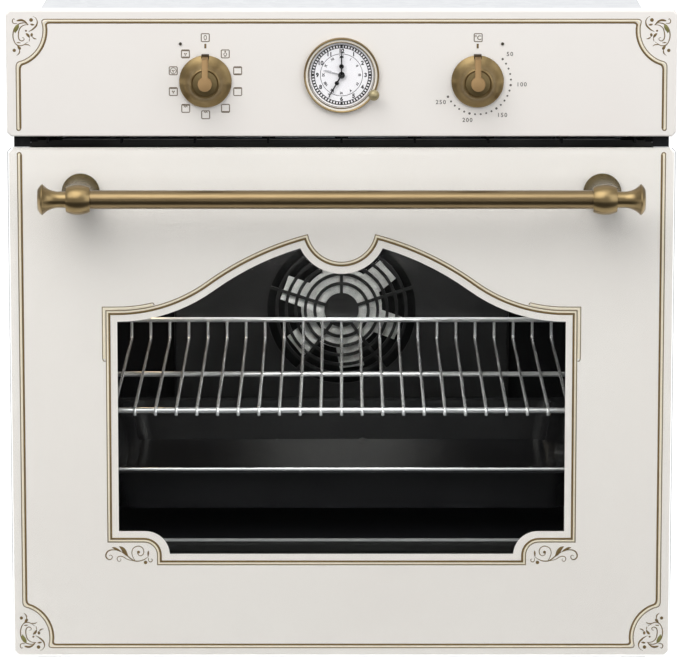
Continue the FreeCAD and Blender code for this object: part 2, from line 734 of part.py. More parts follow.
def insulation():
    """Mineral wool jacket round the sides and back of the oven box."""
    half = CAVITY_HALF
    front = FRAME_BACK + SHEET + SEAT_GAP
    inner = SHEET + SEAT_GAP
    jacket = round_prism(half + JACKET_GROW, CAVITY_FLOOR - JACKET_GROW, JACKET_TOP,
                         CAVITY_RADIUS + JACKET_GROW, front, JACKET_BACK)
    hollow = round_prism(half + inner, CAVITY_FLOOR - inner, CAVITY_TOP + inner, CAVITY_RADIUS + inner,
                         front - 1, WALL_BACK + SEAT_GAP)
    cuts = heater_holes(WOOL_GAP, WALL_BACK, JACKET_BACK + 1)
    cuts.append(disc(MOTOR_WELL, 0, FAN_Z, WALL_BACK, JACKET_BACK + 1))
    cuts.append(disc(LAMP_RADIUS + LAMP_ROOM, LAMP_X, LAMP_Z, WALL_BACK, JACKET_BACK + 1))
    return jacket.cut(Part.makeCompound([hollow] + cuts))


def door_gasket():
    """Soft seal round the oven mouth."""
    half = CAVITY_HALF + GASKET_INSET
    low = CAVITY_FLOOR - GASKET_INSET
    high = CAVITY_TOP + GASKET_INSET
    radius = CAVITY_RADIUS + GASKET_INSET
    outer = round_prism(half + GASKET_WIDTH, low - GASKET_WIDTH, high + GASKET_WIDTH, radius + GASKET_WIDTH,
                        FRAME_FRONT - GASKET_DEPTH, FRAME_FRONT)
    hollow = round_prism(half, low, high, radius, FRAME_FRONT - GASKET_DEPTH - 1, FRAME_FRONT + 1)
    return round_front(outer.cut(hollow), GASKET_WIDTH / 3, FRAME_FRONT - GASKET_DEPTH)


def rack():
    """Right wire rack: runners welded to two uprights that stand off the wall on pins."""
    levels = [RUNNER_LOW + level * RUNNER_PITCH for level in range(RUNNER_LEVELS)]
    low = levels[0] - RACK_MARGIN
    high = levels[-1] + RACK_MARGIN
    wires = [rod(WIRE, V(RUNNER_X, RACK_FRONT, z), V(RUNNER_X, RACK_BACK, z)) for z in levels]
    for y in (RACK_FRONT + RACK_UPRIGHT_INSET, RACK_BACK - RACK_UPRIGHT_INSET):
        wires.append(rod(WIRE, V(RACK_X, y, low), V(RACK_X, y, high)))
        for z in (low + RACK_MARGIN / 2, high - RACK_MARGIN / 2):
            wires.append(rod(WIRE, V(RACK_X, y, z), V(CAVITY_HALF, y, z)))
    return fused(wires[0], wires[1:])


def wire_shelf():
    """Chromed shelf: bars welded on a frame, turned down in front and up at the back."""
    bar_z = SHELF_Z + SHELF_RAIL - SHELF_BAR_SINK
    back_z = SHELF_Z + SHELF_BACK_RISE
    tooth_y = SHELF_FRONT - WIRE - SHELF_BAR + SHELF_TOOTH_WELD
    middle = (SHELF_FRONT + SHELF_BACK) / 2
    pieces = []
    for y, z in ((SHELF_FRONT, SHELF_Z), (middle, SHELF_Z), (SHELF_BACK, back_z)):
        pieces.append(rod(WIRE, V(-SHELF_RAIL_X, y, z), V(SHELF_RAIL_X, y, z)))
    for x in (-SHELF_RAIL_X, SHELF_RAIL_X):
        pieces.append(bent_wire([V(x, SHELF_FRONT - SHELF_OVERRUN, SHELF_Z), V(x, SHELF_BACK, SHELF_Z),
                                 V(x, SHELF_BACK, back_z + SHELF_OVERRUN)], SHELF_RAIL, 2 * SHELF_RAIL))
    for index in range(-SHELF_BAR_SIDE, SHELF_BAR_SIDE + 1):
        x = index * SHELF_BAR_PITCH
        pieces.append(bent_wire([V(x, tooth_y, bar_z - SHELF_TOOTH), V(x, tooth_y, bar_z),
                                 V(x, SHELF_BACK, bar_z), V(x, SHELF_BACK, back_z)], SHELF_BAR, SHELF_BEND))
    return fused(pieces[0], pieces[1:])


def round_rect_xy(half, y0, y1, radius, z):
    """Rounded rectangle outline in a level plane."""
    x0, x1 = -half, half
    slant = radius * (1 - math.sqrt(0.5))
    corners = [(x1, y0, -1, 1), (x1, y1, -1, -1), (x0, y1, 1, -1), (x0, y0, 1, 1)]
    edges = []
    last = V(x0 + radius, y0, z)
    for x, y, sx, sy in corners:
        along_x = V(x + sx * radius, y, z)
        along_y = V(x, y + sy * radius, z)
        first, second = (along_x, along_y) if sx * sy < 0 else (along_y, along_x)
        edges.append(Part.LineSegment(last, first).toShape())
        edges.append(Part.Arc(first, V(x + sx * slant, y + sy * slant, z), second).toShape())
        last = second
    return Part.Wire(edges)


def baking_tray():
    """Pressed tray with sloping walls and a flat rim that lies on the lowest runners."""
    floor_z = TRAY_TOP - TRAY_DEPTH
    y0 = TRAY_FRONT + TRAY_RIM
    y1 = TRAY_BACK - TRAY_RIM

    def bowl(inset, bottom):
        top = round_rect_xy(TRAY_WALL_HALF - inset, y0 + inset, y1 - inset, TRAY_CORNER, TRAY_TOP)
        low = round_rect_xy(TRAY_FLOOR_HALF - inset, y0 + TRAY_SLOPE + inset, y1 - TRAY_SLOPE - inset,
                            TRAY_CORNER, bottom)
        return Part.makeLoft([top, low], True, True)

    rim_wire = round_rect_xy(TRAY_RIM_HALF, TRAY_FRONT, TRAY_BACK, TRAY_CORNER, TRAY_UNDER)
    rim = Part.Face(rim_wire).extrude(V(0, 0, TRAY_SHEET))
    bead_outer = round_rect_xy(TRAY_RIM_HALF, TRAY_FRONT, TRAY_BACK, TRAY_CORNER, TRAY_TOP)
    bead_inner = round_rect_xy(TRAY_RIM_HALF - TRAY_SHEET, TRAY_FRONT + TRAY_SHEET, TRAY_BACK - TRAY_SHEET,
                               TRAY_CORNER - TRAY_SHEET, TRAY_TOP)
    bead = Part.Face(bead_outer).extrude(V(0, 0, TRAY_SHEET))
    bead = bead.cut(Part.Face(bead_inner).extrude(V(0, 0, TRAY_SHEET)))
    outer = fused(bowl(0, floor_z), [rim, bead])
    return outer.cut(bowl(TRAY_SHEET, floor_z + TRAY_SHEET))


# Fan, grille, heaters and lamp


def fan_baffle():
    """Pressed cover over the fan with a grille of concentric rings on five spokes."""
    z0 = FAN_Z - BAFFLE_HALF_HEIGHT
    z1 = FAN_Z + BAFFLE_HALF_HEIGHT
    inner = BAFFLE_HALF - BAFFLE_SHEET
    pan = round_prism(BAFFLE_HALF, z0, z1, BAFFLE_ROUND, BAFFLE_FRONT, CAVITY_BACK)
    pan = round_front(pan, BAFFLE_SHEET * 2, BAFFLE_FRONT)
    hollow = round_prism(inner, z0 + BAFFLE_SHEET, z1 - BAFFLE_SHEET, BAFFLE_ROUND - BAFFLE_SHEET,
                         BAFFLE_FRONT + BAFFLE_SHEET, CAVITY_BACK + 1)
    outlets = []
    outlet_half = BAFFLE_HALF_HEIGHT * OUTLET_HALF_SHARE
    for side in (-1, 1):
        z = FAN_Z + side * BAFFLE_HALF_HEIGHT * OUTLET_SHARE
        outlets.append(block(-BAFFLE_HALF - 1, BAFFLE_HALF + 1, BAFFLE_FRONT + OUTLET_FRONT,
                             CAVITY_BACK - OUTLET_BACK, z - outlet_half, z + outlet_half))
    mouth = disc(GRILLE_OPEN, 0, FAN_Z, BAFFLE_FRONT - 1, BAFFLE_FRONT + BAFFLE_SHEET + 1)
    cover = pan.cut(Part.makeCompound([hollow, mouth] + outlets))
    back = BAFFLE_FRONT + GRILLE_DEPTH
    bars = [disc(GRILLE_HUB, 0, FAN_Z, BAFFLE_FRONT, back)]
    for index in range(1, GRILLE_RINGS + 1):
        radius = GRILLE_HUB + index * GRILLE_PITCH
        bars.append(ring(radius + GRILLE_BAR / 2, radius - GRILLE_BAR / 2, 0, FAN_Z, BAFFLE_FRONT, back))
    spoke = block(GRILLE_HUB - 1, GRILLE_OPEN + 1, BAFFLE_FRONT, back,
                  FAN_Z - GRILLE_BAR / 2, FAN_Z + GRILLE_BAR / 2)
    bars += spread(spoke, GRILLE_SPOKES, V(0, 0, FAN_Z), ALONG_Y, GRILLE_SPOKE_TURN)
    return fused(cover, bars)


def fan_wheel():
    """Hot-air wheel: blades on a disc, with its shaft through the rear wall."""
    disc_back = CAVITY_BACK - FAN_CLEAR
    disc_front = disc_back - SHEET
    blade_front = disc_front - FAN_BLADE_DEPTH
    plate = disc(FAN_RADIUS, 0, FAN_Z, disc_front, disc_back)
    hub = disc(FAN_HUB, 0, FAN_Z, blade_front, disc_front)
    shaft = disc(SHAFT_RADIUS, 0, FAN_Z, disc_front, MOTOR_FRONT + MOTOR_LENGTH * 0.7)
    root = FAN_HUB + FAN_BLADE_START
    blade = block(root, FAN_RADIUS, blade_front, disc_front, FAN_Z - BLADE / 2, FAN_Z + BLADE / 2)
    blade.rotate(V(root, 0, FAN_Z), ALONG_Y, FAN_BLADE_TURN)
    return fused(plate, [hub, shaft] + spread(blade, FAN_BLADES, V(0, 0, FAN_Z), ALONG_Y))


def fan_motor():
    """Motor on three stand-offs behind the rear wall."""
    plate_back = MOTOR_FRONT + FRAME_SHEET
    plate = disc(MOTOR_PLATE_RADIUS, 0, FAN_Z, MOTOR_FRONT, plate_back)
    can = disc(MOTOR_RADIUS, 0, FAN_Z, plate_back, MOTOR_FRONT + MOTOR_LENGTH)
    core_half = MOTOR_RADIUS + CORE_SIDE
    core_front = plate_back + CORE_FRONT
    core = block(-core_half, core_half, core_front, core_front + CORE_DEPTH,
                 FAN_Z - CORE_HALF, FAN_Z + CORE_HALF)
    post = disc(MOTOR_POST_RADIUS, MOTOR_POST_CIRCLE, FAN_Z, WALL_BACK, MOTOR_FRONT)
    body = fused(plate, [can, core] + spread(post, 3, V(0, 0, FAN_Z), ALONG_Y, 30))
    bore_end = MOTOR_FRONT + MOTOR_LENGTH * 0.75
    return body.cut(disc(SHAFT_RADIUS + RUNNING_FIT, 0, FAN_Z, MOTOR_FRONT - 1, bore_end))


def ring_element():
    """Round heater about the fan wheel, with two ends through the rear wall."""
    y = CAVITY_BACK - FAN_CLEAR - 2 * HEATER_RADIUS
    coil = Part.makeTorus(RING_HEATER, HEATER_RADIUS, V(0, y, FAN_Z), ALONG_Y)
    low = FAN_Z - RING_HEATER
    stub = disc(HEATER_RADIUS, RING_STUB, low, y, JACKET_BACK + HEATER_TAIL)
    return fused(coil, [stub, mirrored(stub)])


def grill_element():
    """Grill heater that winds under the oven roof and hangs on two straps."""
    z = CAVITY_TOP - GRILL_DROP
    inner = GRILL_LANE / 2
    outer = inner + 2 * GRILL_LANE
    middle = inner + GRILL_LANE
    near = GRILL_FRONT + GRILL_LANE
    right = [V(inner, JACKET_BACK + HEATER_TAIL, z), V(inner, near, z), V(middle, near, z),
             V(middle, GRILL_TURN_BACK, z), V(outer, GRILL_TURN_BACK, z), V(outer, GRILL_FRONT, z)]
    left = [V(-point.x, point.y, point.z) for point in reversed(right)]
    tube = bent_wire(right + left, HEATER_RADIUS, GRILL_LANE * 0.4)
    strap_y = GRILL_TURN_BACK / 2
    strap = block(outer - STRAP_HALF, outer + STRAP_HALF, strap_y, strap_y + STRAP_WIDTH, z, CAVITY_TOP)
    return fused(tube, [strap, mirrored(strap)])


def lamp_holder():
    """Lamp socket behind the rear wall."""
    flange = WALL_BACK + LAMP_FLANGE
    profile = [(0, CAVITY_BACK), (LAMP_NECK, CAVITY_BACK), (LAMP_NECK, WALL_BACK), (LAMP_RADIUS, WALL_BACK),
               (LAMP_RADIUS, flange), (LAMP_NECK, flange + LAMP_FLANGE), (LAMP_NECK, WALL_BACK + LAMP_LENGTH),
               (0, WALL_BACK + LAMP_LENGTH)]
    return turned(profile, LAMP_X, LAMP_Z)


def lamp_glass():
    """Domed lamp cover on the rear wall."""
    profile = [(0, CAVITY_BACK), (LAMP_RADIUS, CAVITY_BACK), (LAMP_RADIUS, CAVITY_BACK - LAMP_RIM)]
    for across, out in ((0.925, 0.6), (0.7, 0.9), (0.35, 1.0), (0.0, 1.0)):
        profile.append((LAMP_RADIUS * across, CAVITY_BACK - LAMP_DOME * out))
    return turned(profile, LAMP_X, LAMP_Z)


def thermostat_probe():
    """Sensing rod on two clips in front of the rear wall."""
    y = CAVITY_BACK - PROBE_STAND
    bulb = rod(PROBE_RADIUS, V(PROBE_LEFT, y, PROBE_Z), V(PROBE_RIGHT, y, PROBE_Z))
    clips = [disc(PROBE_RADIUS * 0.6, x, PROBE_Z, y, CAVITY_BACK)
             for x in (PROBE_LEFT + PROBE_CLIP, PROBE_RIGHT - PROBE_CLIP)]
    return fused(bulb, clips)


# Cooling blower on the roof of the jacket


def duct_volume(inset):
    """Plan of the duct met with its side profile, drawn in by a sheet where needed."""
    front = FRAME_BACK + SEAT_GAP - (1 if inset else 0)
    round_end = BLOWER_RADIUS + BLOWER_CLEAR - inset
    mouth = DUCT_MOUTH_HALF - inset
    right = Part.LineSegment(V(mouth, front, 0), V(round_end, BLOWER_Y, 0)).toShape()
    far_end = V(0, BLOWER_Y + round_end, 0)
    end = Part.Arc(V(round_end, BLOWER_Y, 0), far_end, V(-round_end, BLOWER_Y, 0)).toShape()
    left = Part.LineSegment(V(-round_end, BLOWER_Y, 0), V(-mouth, front, 0)).toShape()
    close = Part.LineSegment(V(-mouth, front, 0), V(mouth, front, 0)).toShape()
    plan = Part.Face(Part.Wire([right, end, left, close])).extrude(V(0, 0, BODY_HEIGHT))
    floor = DUCT_FLOOR + inset
    low_roof = DUCT_FLOOR + DUCT_MOUTH - inset
    high_roof = DUCT_ROOF - inset
    far = BLOWER_Y + 2 * BLOWER_RADIUS
    side = [V(-FRONT_HALF, front, floor), V(-FRONT_HALF, far, floor), V(-FRONT_HALF, far, high_roof),
            V(-FRONT_HALF, DUCT_STRAIGHT, high_roof), V(-FRONT_HALF, front, low_roof)]
    profile = Part.Face(Part.makePolygon(side + side[:1])).extrude(V(FRONT_WIDTH, 0, 0))
    return plan.common(profile)


def cooling_duct():
    """Flat sheet duct from the blower to the vent slot."""
    shell = duct_volume(0).cut(duct_volume(DUCT_SHEET))
    inlet = rod(BLOWER_INLET, V(0, BLOWER_Y, DUCT_ROOF - 2 * DUCT_SHEET), V(0, BLOWER_Y, DUCT_ROOF + 1))
    return shell.cut(inlet)


def cooling_wheel():
    """Blower wheel: blades on a disc, with its shaft up into the motor."""
    floor = DUCT_FLOOR + DUCT_SHEET + BLOWER_LIFT
    plate = Part.makeCylinder(BLOWER_RADIUS, SHEET, V(0, BLOWER_Y, floor))
    hub = Part.makeCylinder(SHAFT_RADIUS * 3, BLOWER_HEIGHT, V(0, BLOWER_Y, floor))
    top = DUCT_ROOF + BLOWER_MOTOR_STAND + BLOWER_MOTOR_HEIGHT * 0.7
    shaft = rod(SHAFT_RADIUS, V(0, BLOWER_Y, floor), V(0, BLOWER_Y, top))
    blade = block(BLOWER_RADIUS - BLOWER_BLADE, BLOWER_RADIUS, BLOWER_Y - BLADE / 2, BLOWER_Y + BLADE / 2,
                  floor, floor + BLOWER_HEIGHT)
    blade.rotate(V(BLOWER_RADIUS - BLOWER_BLADE / 2, BLOWER_Y, 0), ALONG_Z, BLOWER_BLADE_TURN)
    return fused(plate, [hub, shaft] + spread(blade, BLOWER_BLADES, V(0, BLOWER_Y, 0), ALONG_Z))


def cooling_motor():
    """Blower motor on three legs over the duct inlet."""
    base = DUCT_ROOF + BLOWER_MOTOR_STAND
    top = base + BLOWER_MOTOR_HEIGHT
    reach = BLOWER_INLET + BLOWER_LEG_REACH
    plate = Part.makeCylinder(reach + BLOWER_PLATE_EDGE, FRAME_SHEET, V(0, BLOWER_Y, base))
    can = rod(BLOWER_MOTOR_RADIUS, V(0, BLOWER_Y, base), V(0, BLOWER_Y, top))
    leg = rod(MOTOR_POST_RADIUS, V(reach, BLOWER_Y, DUCT_ROOF), V(reach, BLOWER_Y, base))
    body = fused(plate, [can] + spread(leg, 3, V(0, BLOWER_Y, 0), ALONG_Z, 30))
    bore = rod(SHAFT_RADIUS + RUNNING_FIT, V(0, BLOWER_Y, base - 1),
               V(0, BLOWER_Y, base + BLOWER_MOTOR_HEIGHT * 0.75))
    return body.cut(bore)


def terminal_block():
    """Mains terminal box on the inside of the back sheet."""
    half = TERMINAL_SIZE / 2
    box = block(TERMINAL_X - half, TERMINAL_X + half, BACK_INNER - TERMINAL_DEPTH, BACK_INNER,
                TERMINAL_Z - half * 0.7, TERMINAL_Z + half * 0.7)
    step = TERMINAL_SIZE / 5
    front = BACK_INNER - TERMINAL_DEPTH
    wells = [disc(step * 0.3, TERMINAL_X + (index - 2) * step, TERMINAL_Z, front - 1, front + TERMINAL_WELL)
             for index in range(5)]
    return box.cut(Part.makeCompound(wells))


def cable_gland():
    """Round grommet in the back sheet with a clear bore for the mains lead."""
    neck = GLAND_RADIUS - GLAND_STEP - STATIC_FIT
    inside = BACK_INNER - GLAND_LENGTH
    outside = BODY_BACK + SCREW_HEAD_HEIGHT
    z = TERMINAL_Z - GLAND_DROP
    tube = ring(neck, GLAND_BORE, TERMINAL_X, z, inside, outside)
    collar = ring(GLAND_RADIUS, GLAND_BORE, TERMINAL_X, z, inside, BACK_INNER)
    return fused(tube, [collar])


# Door


def window_wire():
    """Outline of the window: notched lower corners, ogee shoulders and a round scoop at the top."""
    turn = math.radians(OGEE_TURN)
    shoulder = WINDOW_HALF - NOTCH_FLAT
    base = shoulder - NOTCH_RUN
    notch_z = WINDOW_BOTTOM + NOTCH_HEIGHT
    slant = 1 - math.sqrt(0.5)
    low_centre_z = WINDOW_SIDE_TOP + OGEE_LOW_RADIUS

    def low_arc(angle):
        x = WINDOW_HALF - OGEE_LOW_RADIUS * math.sin(angle)
        return V(x, 0, low_centre_z - OGEE_LOW_RADIUS * math.cos(angle))

    meet = low_arc(turn)
    high_x = meet.x - OGEE_HIGH_RADIUS * math.sin(turn)
    high_z = meet.z - OGEE_HIGH_RADIUS * math.cos(turn)

    def high_arc(x):
        return V(x, 0, high_z + math.sqrt(OGEE_HIGH_RADIUS ** 2 - (x - high_x) ** 2))

    tip = high_arc(SCOOP_HALF)
    scoop_z = tip.z + math.sqrt(SCOOP_RADIUS ** 2 - SCOOP_HALF ** 2) - SCOOP_RADIUS
    corner = V(WINDOW_HALF, 0, WINDOW_SIDE_TOP)
    notch_middle = V(base + NOTCH_RUN * slant, 0, notch_z - NOTCH_HEIGHT * slant)
    notch_arc = Part.Arc(V(base, 0, WINDOW_BOTTOM), notch_middle, V(shoulder, 0, notch_z))
    right = [
        notch_arc.toShape(),
        Part.LineSegment(V(shoulder, 0, notch_z), V(WINDOW_HALF, 0, notch_z)).toShape(),
        Part.LineSegment(V(WINDOW_HALF, 0, notch_z), corner).toShape(),
        Part.Arc(corner, low_arc(turn / 2), meet).toShape(),
        Part.Arc(meet, high_arc((meet.x + SCOOP_HALF) / 2), tip).toShape(),
    ]
    left = [mirrored(edge) for edge in right]
    scoop = Part.Arc(tip, V(0, 0, scoop_z), V(-tip.x, 0, tip.z)).toShape()
    sill = Part.LineSegment(V(-base, 0, WINDOW_BOTTOM), V(base, 0, WINDOW_BOTTOM)).toShape()
    return Part.Wire(Part.__sortEdges__(right + [scoop, sill] + left))


def post_holes(room, y0, y1):
    """Holes for the two handle studs."""
    return [disc(HANDLE_STUD + room, side * HANDLE_POST_X, HANDLE_Z, y0, y1) for side in (-1, 1)]


def door_glass():
    """Outer pane with cut corners and a rounded front edge."""
    pane = cut_corner_prism(FRONT_HALF, DOOR_BOTTOM, DOOR_TOP, CORNER_CUT, 0, GLASS)
    pane = round_front(pane, EDGE_ROUND, 0)
    return pane.cut(Part.makeCompound(post_holes(STATIC_FIT, -1, GLASS + 1)))


def door_enamel():
    """Cream print fired on the back of the outer pane, open at the window."""
    half = FRONT_HALF - EDGE_ROUND
    coat = cut_corner_prism(half, DOOR_BOTTOM + EDGE_ROUND, DOOR_TOP - EDGE_ROUND, CORNER_CUT,
                            GLASS, COLUMN_FRONT)
    cuts = post_holes(STATIC_FIT, GLASS - 1, COLUMN_FRONT + 1)
    cuts.append(prism_y(window_wire(), GLASS - 1, COLUMN_FRONT + 1))
    return coat.cut(Part.makeCompound(cuts))


def door_mid_glass():
    """Middle pane between the columns."""
    return block(-RAIL_HALF, RAIL_HALF, MID_GLASS_FRONT, MID_GLASS_FRONT + MID_GLASS, RAIL_TOP, TRIM_LOW)


def door_inner_glass():
    """Inner pane that closes on the gasket."""
    return block(-INNER_GLASS_HALF, INNER_GLASS_HALF, COLUMN_BACK, INNER_BACK, INNER_GLASS_BOTTOM, COLUMN_HIGH)


def door_column():
    """Right door column, a rolled channel with a slot down its back for the hinge claw."""
    skin = COLUMN_SHEET
    outer = block(COLUMN_INNER, COLUMN_OUTER, COLUMN_FRONT, COLUMN_BACK, COLUMN_LOW, COLUMN_HIGH)
    hollow = block(COLUMN_INNER + skin, COLUMN_OUTER - skin, COLUMN_FRONT + skin, COLUMN_BACK - skin,
                   COLUMN_LOW - 1, COLUMN_HIGH + 1)
    slot = block(HINGE_X - COLUMN_SLOT / 2, HINGE_X + COLUMN_SLOT / 2, COLUMN_BACK - skin - 1, COLUMN_BACK + 1,
                 COLUMN_LOW - 1, COLUMN_HIGH + 1)
    return outer.cut(Part.makeCompound([hollow, slot] + post_holes(STATIC_FIT, 0, COLUMN_BACK / 2)))


def door_channel(z0, z1):
    """A channel between the columns, open at the back."""
    skin = COLUMN_SHEET
    outer = block(-RAIL_HALF, RAIL_HALF, COLUMN_FRONT, COLUMN_BACK, z0, z1)
    hollow = block(-RAIL_HALF - 1, RAIL_HALF + 1, COLUMN_FRONT + skin, COLUMN_BACK + 1, z0 + skin, z1 - skin)
    return outer.cut(hollow)


def door_slots(z0, z1):
    """Row of air slots across a door channel."""
    slots = []
    for index in range(-DOOR_SLOT_SIDE, DOOR_SLOT_SIDE + 1):
        x = index * DOOR_SLOT_PITCH
        slots.append(block(x - DOOR_SLOT_HALF, x + DOOR_SLOT_HALF, COLUMN_FRONT + DOOR_SLOT_MARGIN,
                           COLUMN_BACK - DOOR_SLOT_MARGIN, z0, z1))
    return Part.makeCompound(slots)


def door_top_trim():
    """Upper door channel with air slots in its top."""
    return door_channel(TRIM_LOW, COLUMN_HIGH).cut(door_slots(COLUMN_HIGH - 2 * COLUMN_SHEET, COLUMN_HIGH + 1))


def door_bottom_rail():
    """Lower door channel with air slots in its floor."""
    return door_channel(COLUMN_LOW, RAIL_TOP).cut(door_slots(COLUMN_LOW - 1, COLUMN_LOW + 2 * COLUMN_SHEET))


def handle_bar():
    """Round bar between the two posts."""
    half = HANDLE_POST_X - COLLAR_WIDTH / 2
    return rod(HANDLE_RADIUS, V(-half, -HANDLE_AXIS, HANDLE_Z), V(half, -HANDLE_AXIS, HANDLE_Z))


def turned_x(profile, y, z):
    """A round piece from (x, radius) points, turned about a line along X."""
    points = [V(x, y, z + radius) for x, radius in profile]
    return Part.Face(Part.makePolygon(points + points[:1])).revolve(V(0, y, z), ALONG_X, 360)


def handle_post():
    """Right post: flange on the glass, waisted neck, barrel collar and a stud into the column."""
    flange = POST_FLANGE_RADIUS
    neck = POST_NECK_RADIUS
    tip = -HANDLE_AXIS + COLLAR_RADIUS * 0.6
    profile = [(0, 0), (flange, 0), (flange, -POST_FLANGE * 0.5), (flange * 0.912, -POST_FLANGE),
               (neck * 1.21, -POST_FLANGE * 1.6), (neck, -POST_FLANGE * 2.6), (neck, tip), (0, tip)]
    stem = turned(profile, HANDLE_POST_X, HANDLE_Z)
    left = HANDLE_POST_X - COLLAR_WIDTH / 2
    right = HANDLE_POST_X + COLLAR_WIDTH / 2
    shoulder = COLLAR_RADIUS - COLLAR_BEVEL
    barrel = turned_x([(left, 0), (left, shoulder), (left + COLLAR_BEVEL, COLLAR_RADIUS),
                       (right - COLLAR_BEVEL, COLLAR_RADIUS), (right, shoulder), (right, 0)],
                      -HANDLE_AXIS, HANDLE_Z)
    stud = disc(HANDLE_STUD, HANDLE_POST_X, HANDLE_Z, -1, HINGE_WEB + HANDLE_STUD_REACH)
    return fused(stem, [barrel, stud])


def handle_finial():
    """Right trumpet end of the handle."""
    left = HANDLE_POST_X + COLLAR_WIDTH / 2
    right = left + FINIAL_LENGTH
    grow = FINIAL_RADIUS - FINIAL_NECK
    ring_radius = FINIAL_NECK + FINIAL_RING
    start = left + 2 * FINIAL_LIP
    run = FINIAL_LENGTH - 3 * FINIAL_LIP
    profile = [(left, 0), (left, ring_radius), (left + FINIAL_LIP, ring_radius), (start, FINIAL_NECK)]
    for share in (0.25, 0.5, 0.75, 1.0):
        profile.append((start + run * share, FINIAL_NECK + grow * share ** 2))
    profile += [(right, FINIAL_RADIUS), (right, 0)]
    return turned_x(profile, -HANDLE_AXIS, HANDLE_Z)


# Door hinges


def rod_x(radius, x0, x1, y, z):
    """Round pin along X."""
    return rod(radius, V(x0, y, z), V(x1, y, z))


def hinge_body():
    """Right hinge channel inside the column: two cheeks on a web, with a stop for the spring."""
    high = HINGE_LOW + HINGE_BODY_HEIGHT
    back = HINGE_Y + CLAW_EYE + PIN_RADIUS
    outer = block(HINGE_X - CHEEK_OUTER, HINGE_X + CHEEK_OUTER, HINGE_WEB, back, HINGE_LOW, high)
    gap = block(HINGE_X - CHEEK_INNER, HINGE_X + CHEEK_INNER, HINGE_WEB + CHEEK_SHEET, back + 1,
                HINGE_LOW - 1, high - CHEEK_SHEET)
    reach = CHEEK_OUTER + 1
    bore = rod_x(PIN_RADIUS + STATIC_FIT, HINGE_X - reach, HINGE_X + reach, HINGE_Y, HINGE_Z)
    return outer.cut(Part.makeCompound([gap, bore]))


def hinge_pin():
    """Right hinge pin."""
    return rod_x(PIN_RADIUS, HINGE_X - CHEEK_OUTER - 1, HINGE_X + CHEEK_OUTER + 1, HINGE_Y, HINGE_Z)


def hinge_spring():
    """Right counterbalance spring cartridge in the hinge channel."""
    high = HINGE_LOW + HINGE_BODY_HEIGHT - CHEEK_SHEET - SEAT_GAP
    y = HINGE_WEB + CHEEK_SHEET + SEAT_GAP + SPRING_RADIUS
    coil = rod(SPRING_RADIUS, V(HINGE_X, y, high - SPRING_LENGTH), V(HINGE_X, y, high))
    grooves = []
    for index in range(1, SPRING_TURNS):
        z = high - SPRING_LENGTH * index / SPRING_TURNS
        centre = V(HINGE_X, y, z)
        grooves.append(Part.makeTorus(SPRING_RADIUS + SPRING_GROOVE * 0.43, SPRING_GROOVE, centre, ALONG_Z))
    return coil.cut(Part.makeCompound(grooves))


def hinge_claw():
    """Right claw: an eye on the hinge pin and an arm that hooks in the chassis."""
    x0 = HINGE_X - CLAW_THICK / 2
    x1 = HINGE_X + CLAW_THICK / 2
    eye = rod_x(CLAW_EYE, x0, x1, HINGE_Y, HINGE_Z)
    arm = block(x0, x1, HINGE_Y, FRAME_BACK + CLAW_REACH, CLAW_LOW, CLAW_LOW + CLAW_HEIGHT)
    bore = rod_x(PIN_RADIUS + RUNNING_FIT, x0 - 1, x1 + 1, HINGE_Y, HINGE_Z)
    seat = PIN_RADIUS + STATIC_FIT
    hook_z = CLAW_LOW + 2 * SHEET
    hook = rod_x(seat, x0 - 1, x1 + 1, RECEIVER_PIN_Y, hook_z)
    gate = block(x0 - 1, x1 + 1, RECEIVER_PIN_Y - seat, RECEIVER_PIN_Y + seat, CLAW_LOW - 1, hook_z)
    return fused(eye, [arm]).cut(Part.makeCompound([bore, hook, gate]))


def hinge_receiver():
    """Right pocket behind the front frame with the pin that the claw hooks on."""
    inner = CLAW_THICK / 2 + SEAL_GAP
    outer = inner + RECEIVER_SHEET
    low = CLAW_LOW - HINGE_FOOT
    high = low + RECEIVER_HEIGHT
    back = FRAME_BACK + RECEIVER_DEPTH
    wing = outer + RECEIVER_WING
    sleeve = block(HINGE_X - outer, HINGE_X + outer, FRAME_BACK, back, low, high)
    gap = block(HINGE_X - inner, HINGE_X + inner, FRAME_BACK - 1, back - RECEIVER_SHEET, low - 1, high + 1)
    plate = block(HINGE_X - wing, HINGE_X + wing, FRAME_BACK, FRAME_BACK + RECEIVER_SHEET, low, high)
    pin = rod_x(PIN_RADIUS, HINGE_X - outer, HINGE_X + outer, RECEIVER_PIN_Y, CLAW_LOW + 2 * SHEET)
    return fused(fused(sleeve, [plate]).cut(gap), [pin])


# Control panel


def control_panel():
    """Folded front panel with studs behind it and holes for the controls."""
    pan = cut_corner_prism(FRONT_HALF, PANEL_BOTTOM, PANEL_TOP, CORNER_CUT, 0, PANEL_DEPTH)
    pan = round_front(pan, EDGE_ROUND, 0)
    wall = PANEL_WALL
    hollow = cut_corner_prism(FRONT_HALF - wall, PANEL_BOTTOM + wall, PANEL_TOP - wall, CORNER_CUT,
                              wall, PANEL_DEPTH + 1)
    studs = [disc(PANEL_STUD, side * STUD_X, z, wall, PANEL_DEPTH) for side in (-1, 1)
             for z in (PANEL_BOTTOM + STUD_INSET, PANEL_TOP - 2 * STUD_INSET)]
    cuts = [disc(SPINDLE_HOLE, side * KNOB_X, KNOB_Z, -1, wall + 1) for side in (-1, 1)]
    cuts += [disc(PILOT_RADIUS + STATIC_FIT, side * PILOT_X, PILOT_Z, -1, wall + 1) for side in (-1, 1)]
    cuts.append(disc(CLOCK_OPEN + DIAL, 0, CLOCK_Z, -1, wall + 1))
    cuts.append(disc(SETTING_SLEEVE + SEAT_GAP, SETTING_X, SETTING_Z, -1, wall + 1))
    return fused(pan.cut(hollow), studs).cut(Part.makeCompound(cuts))


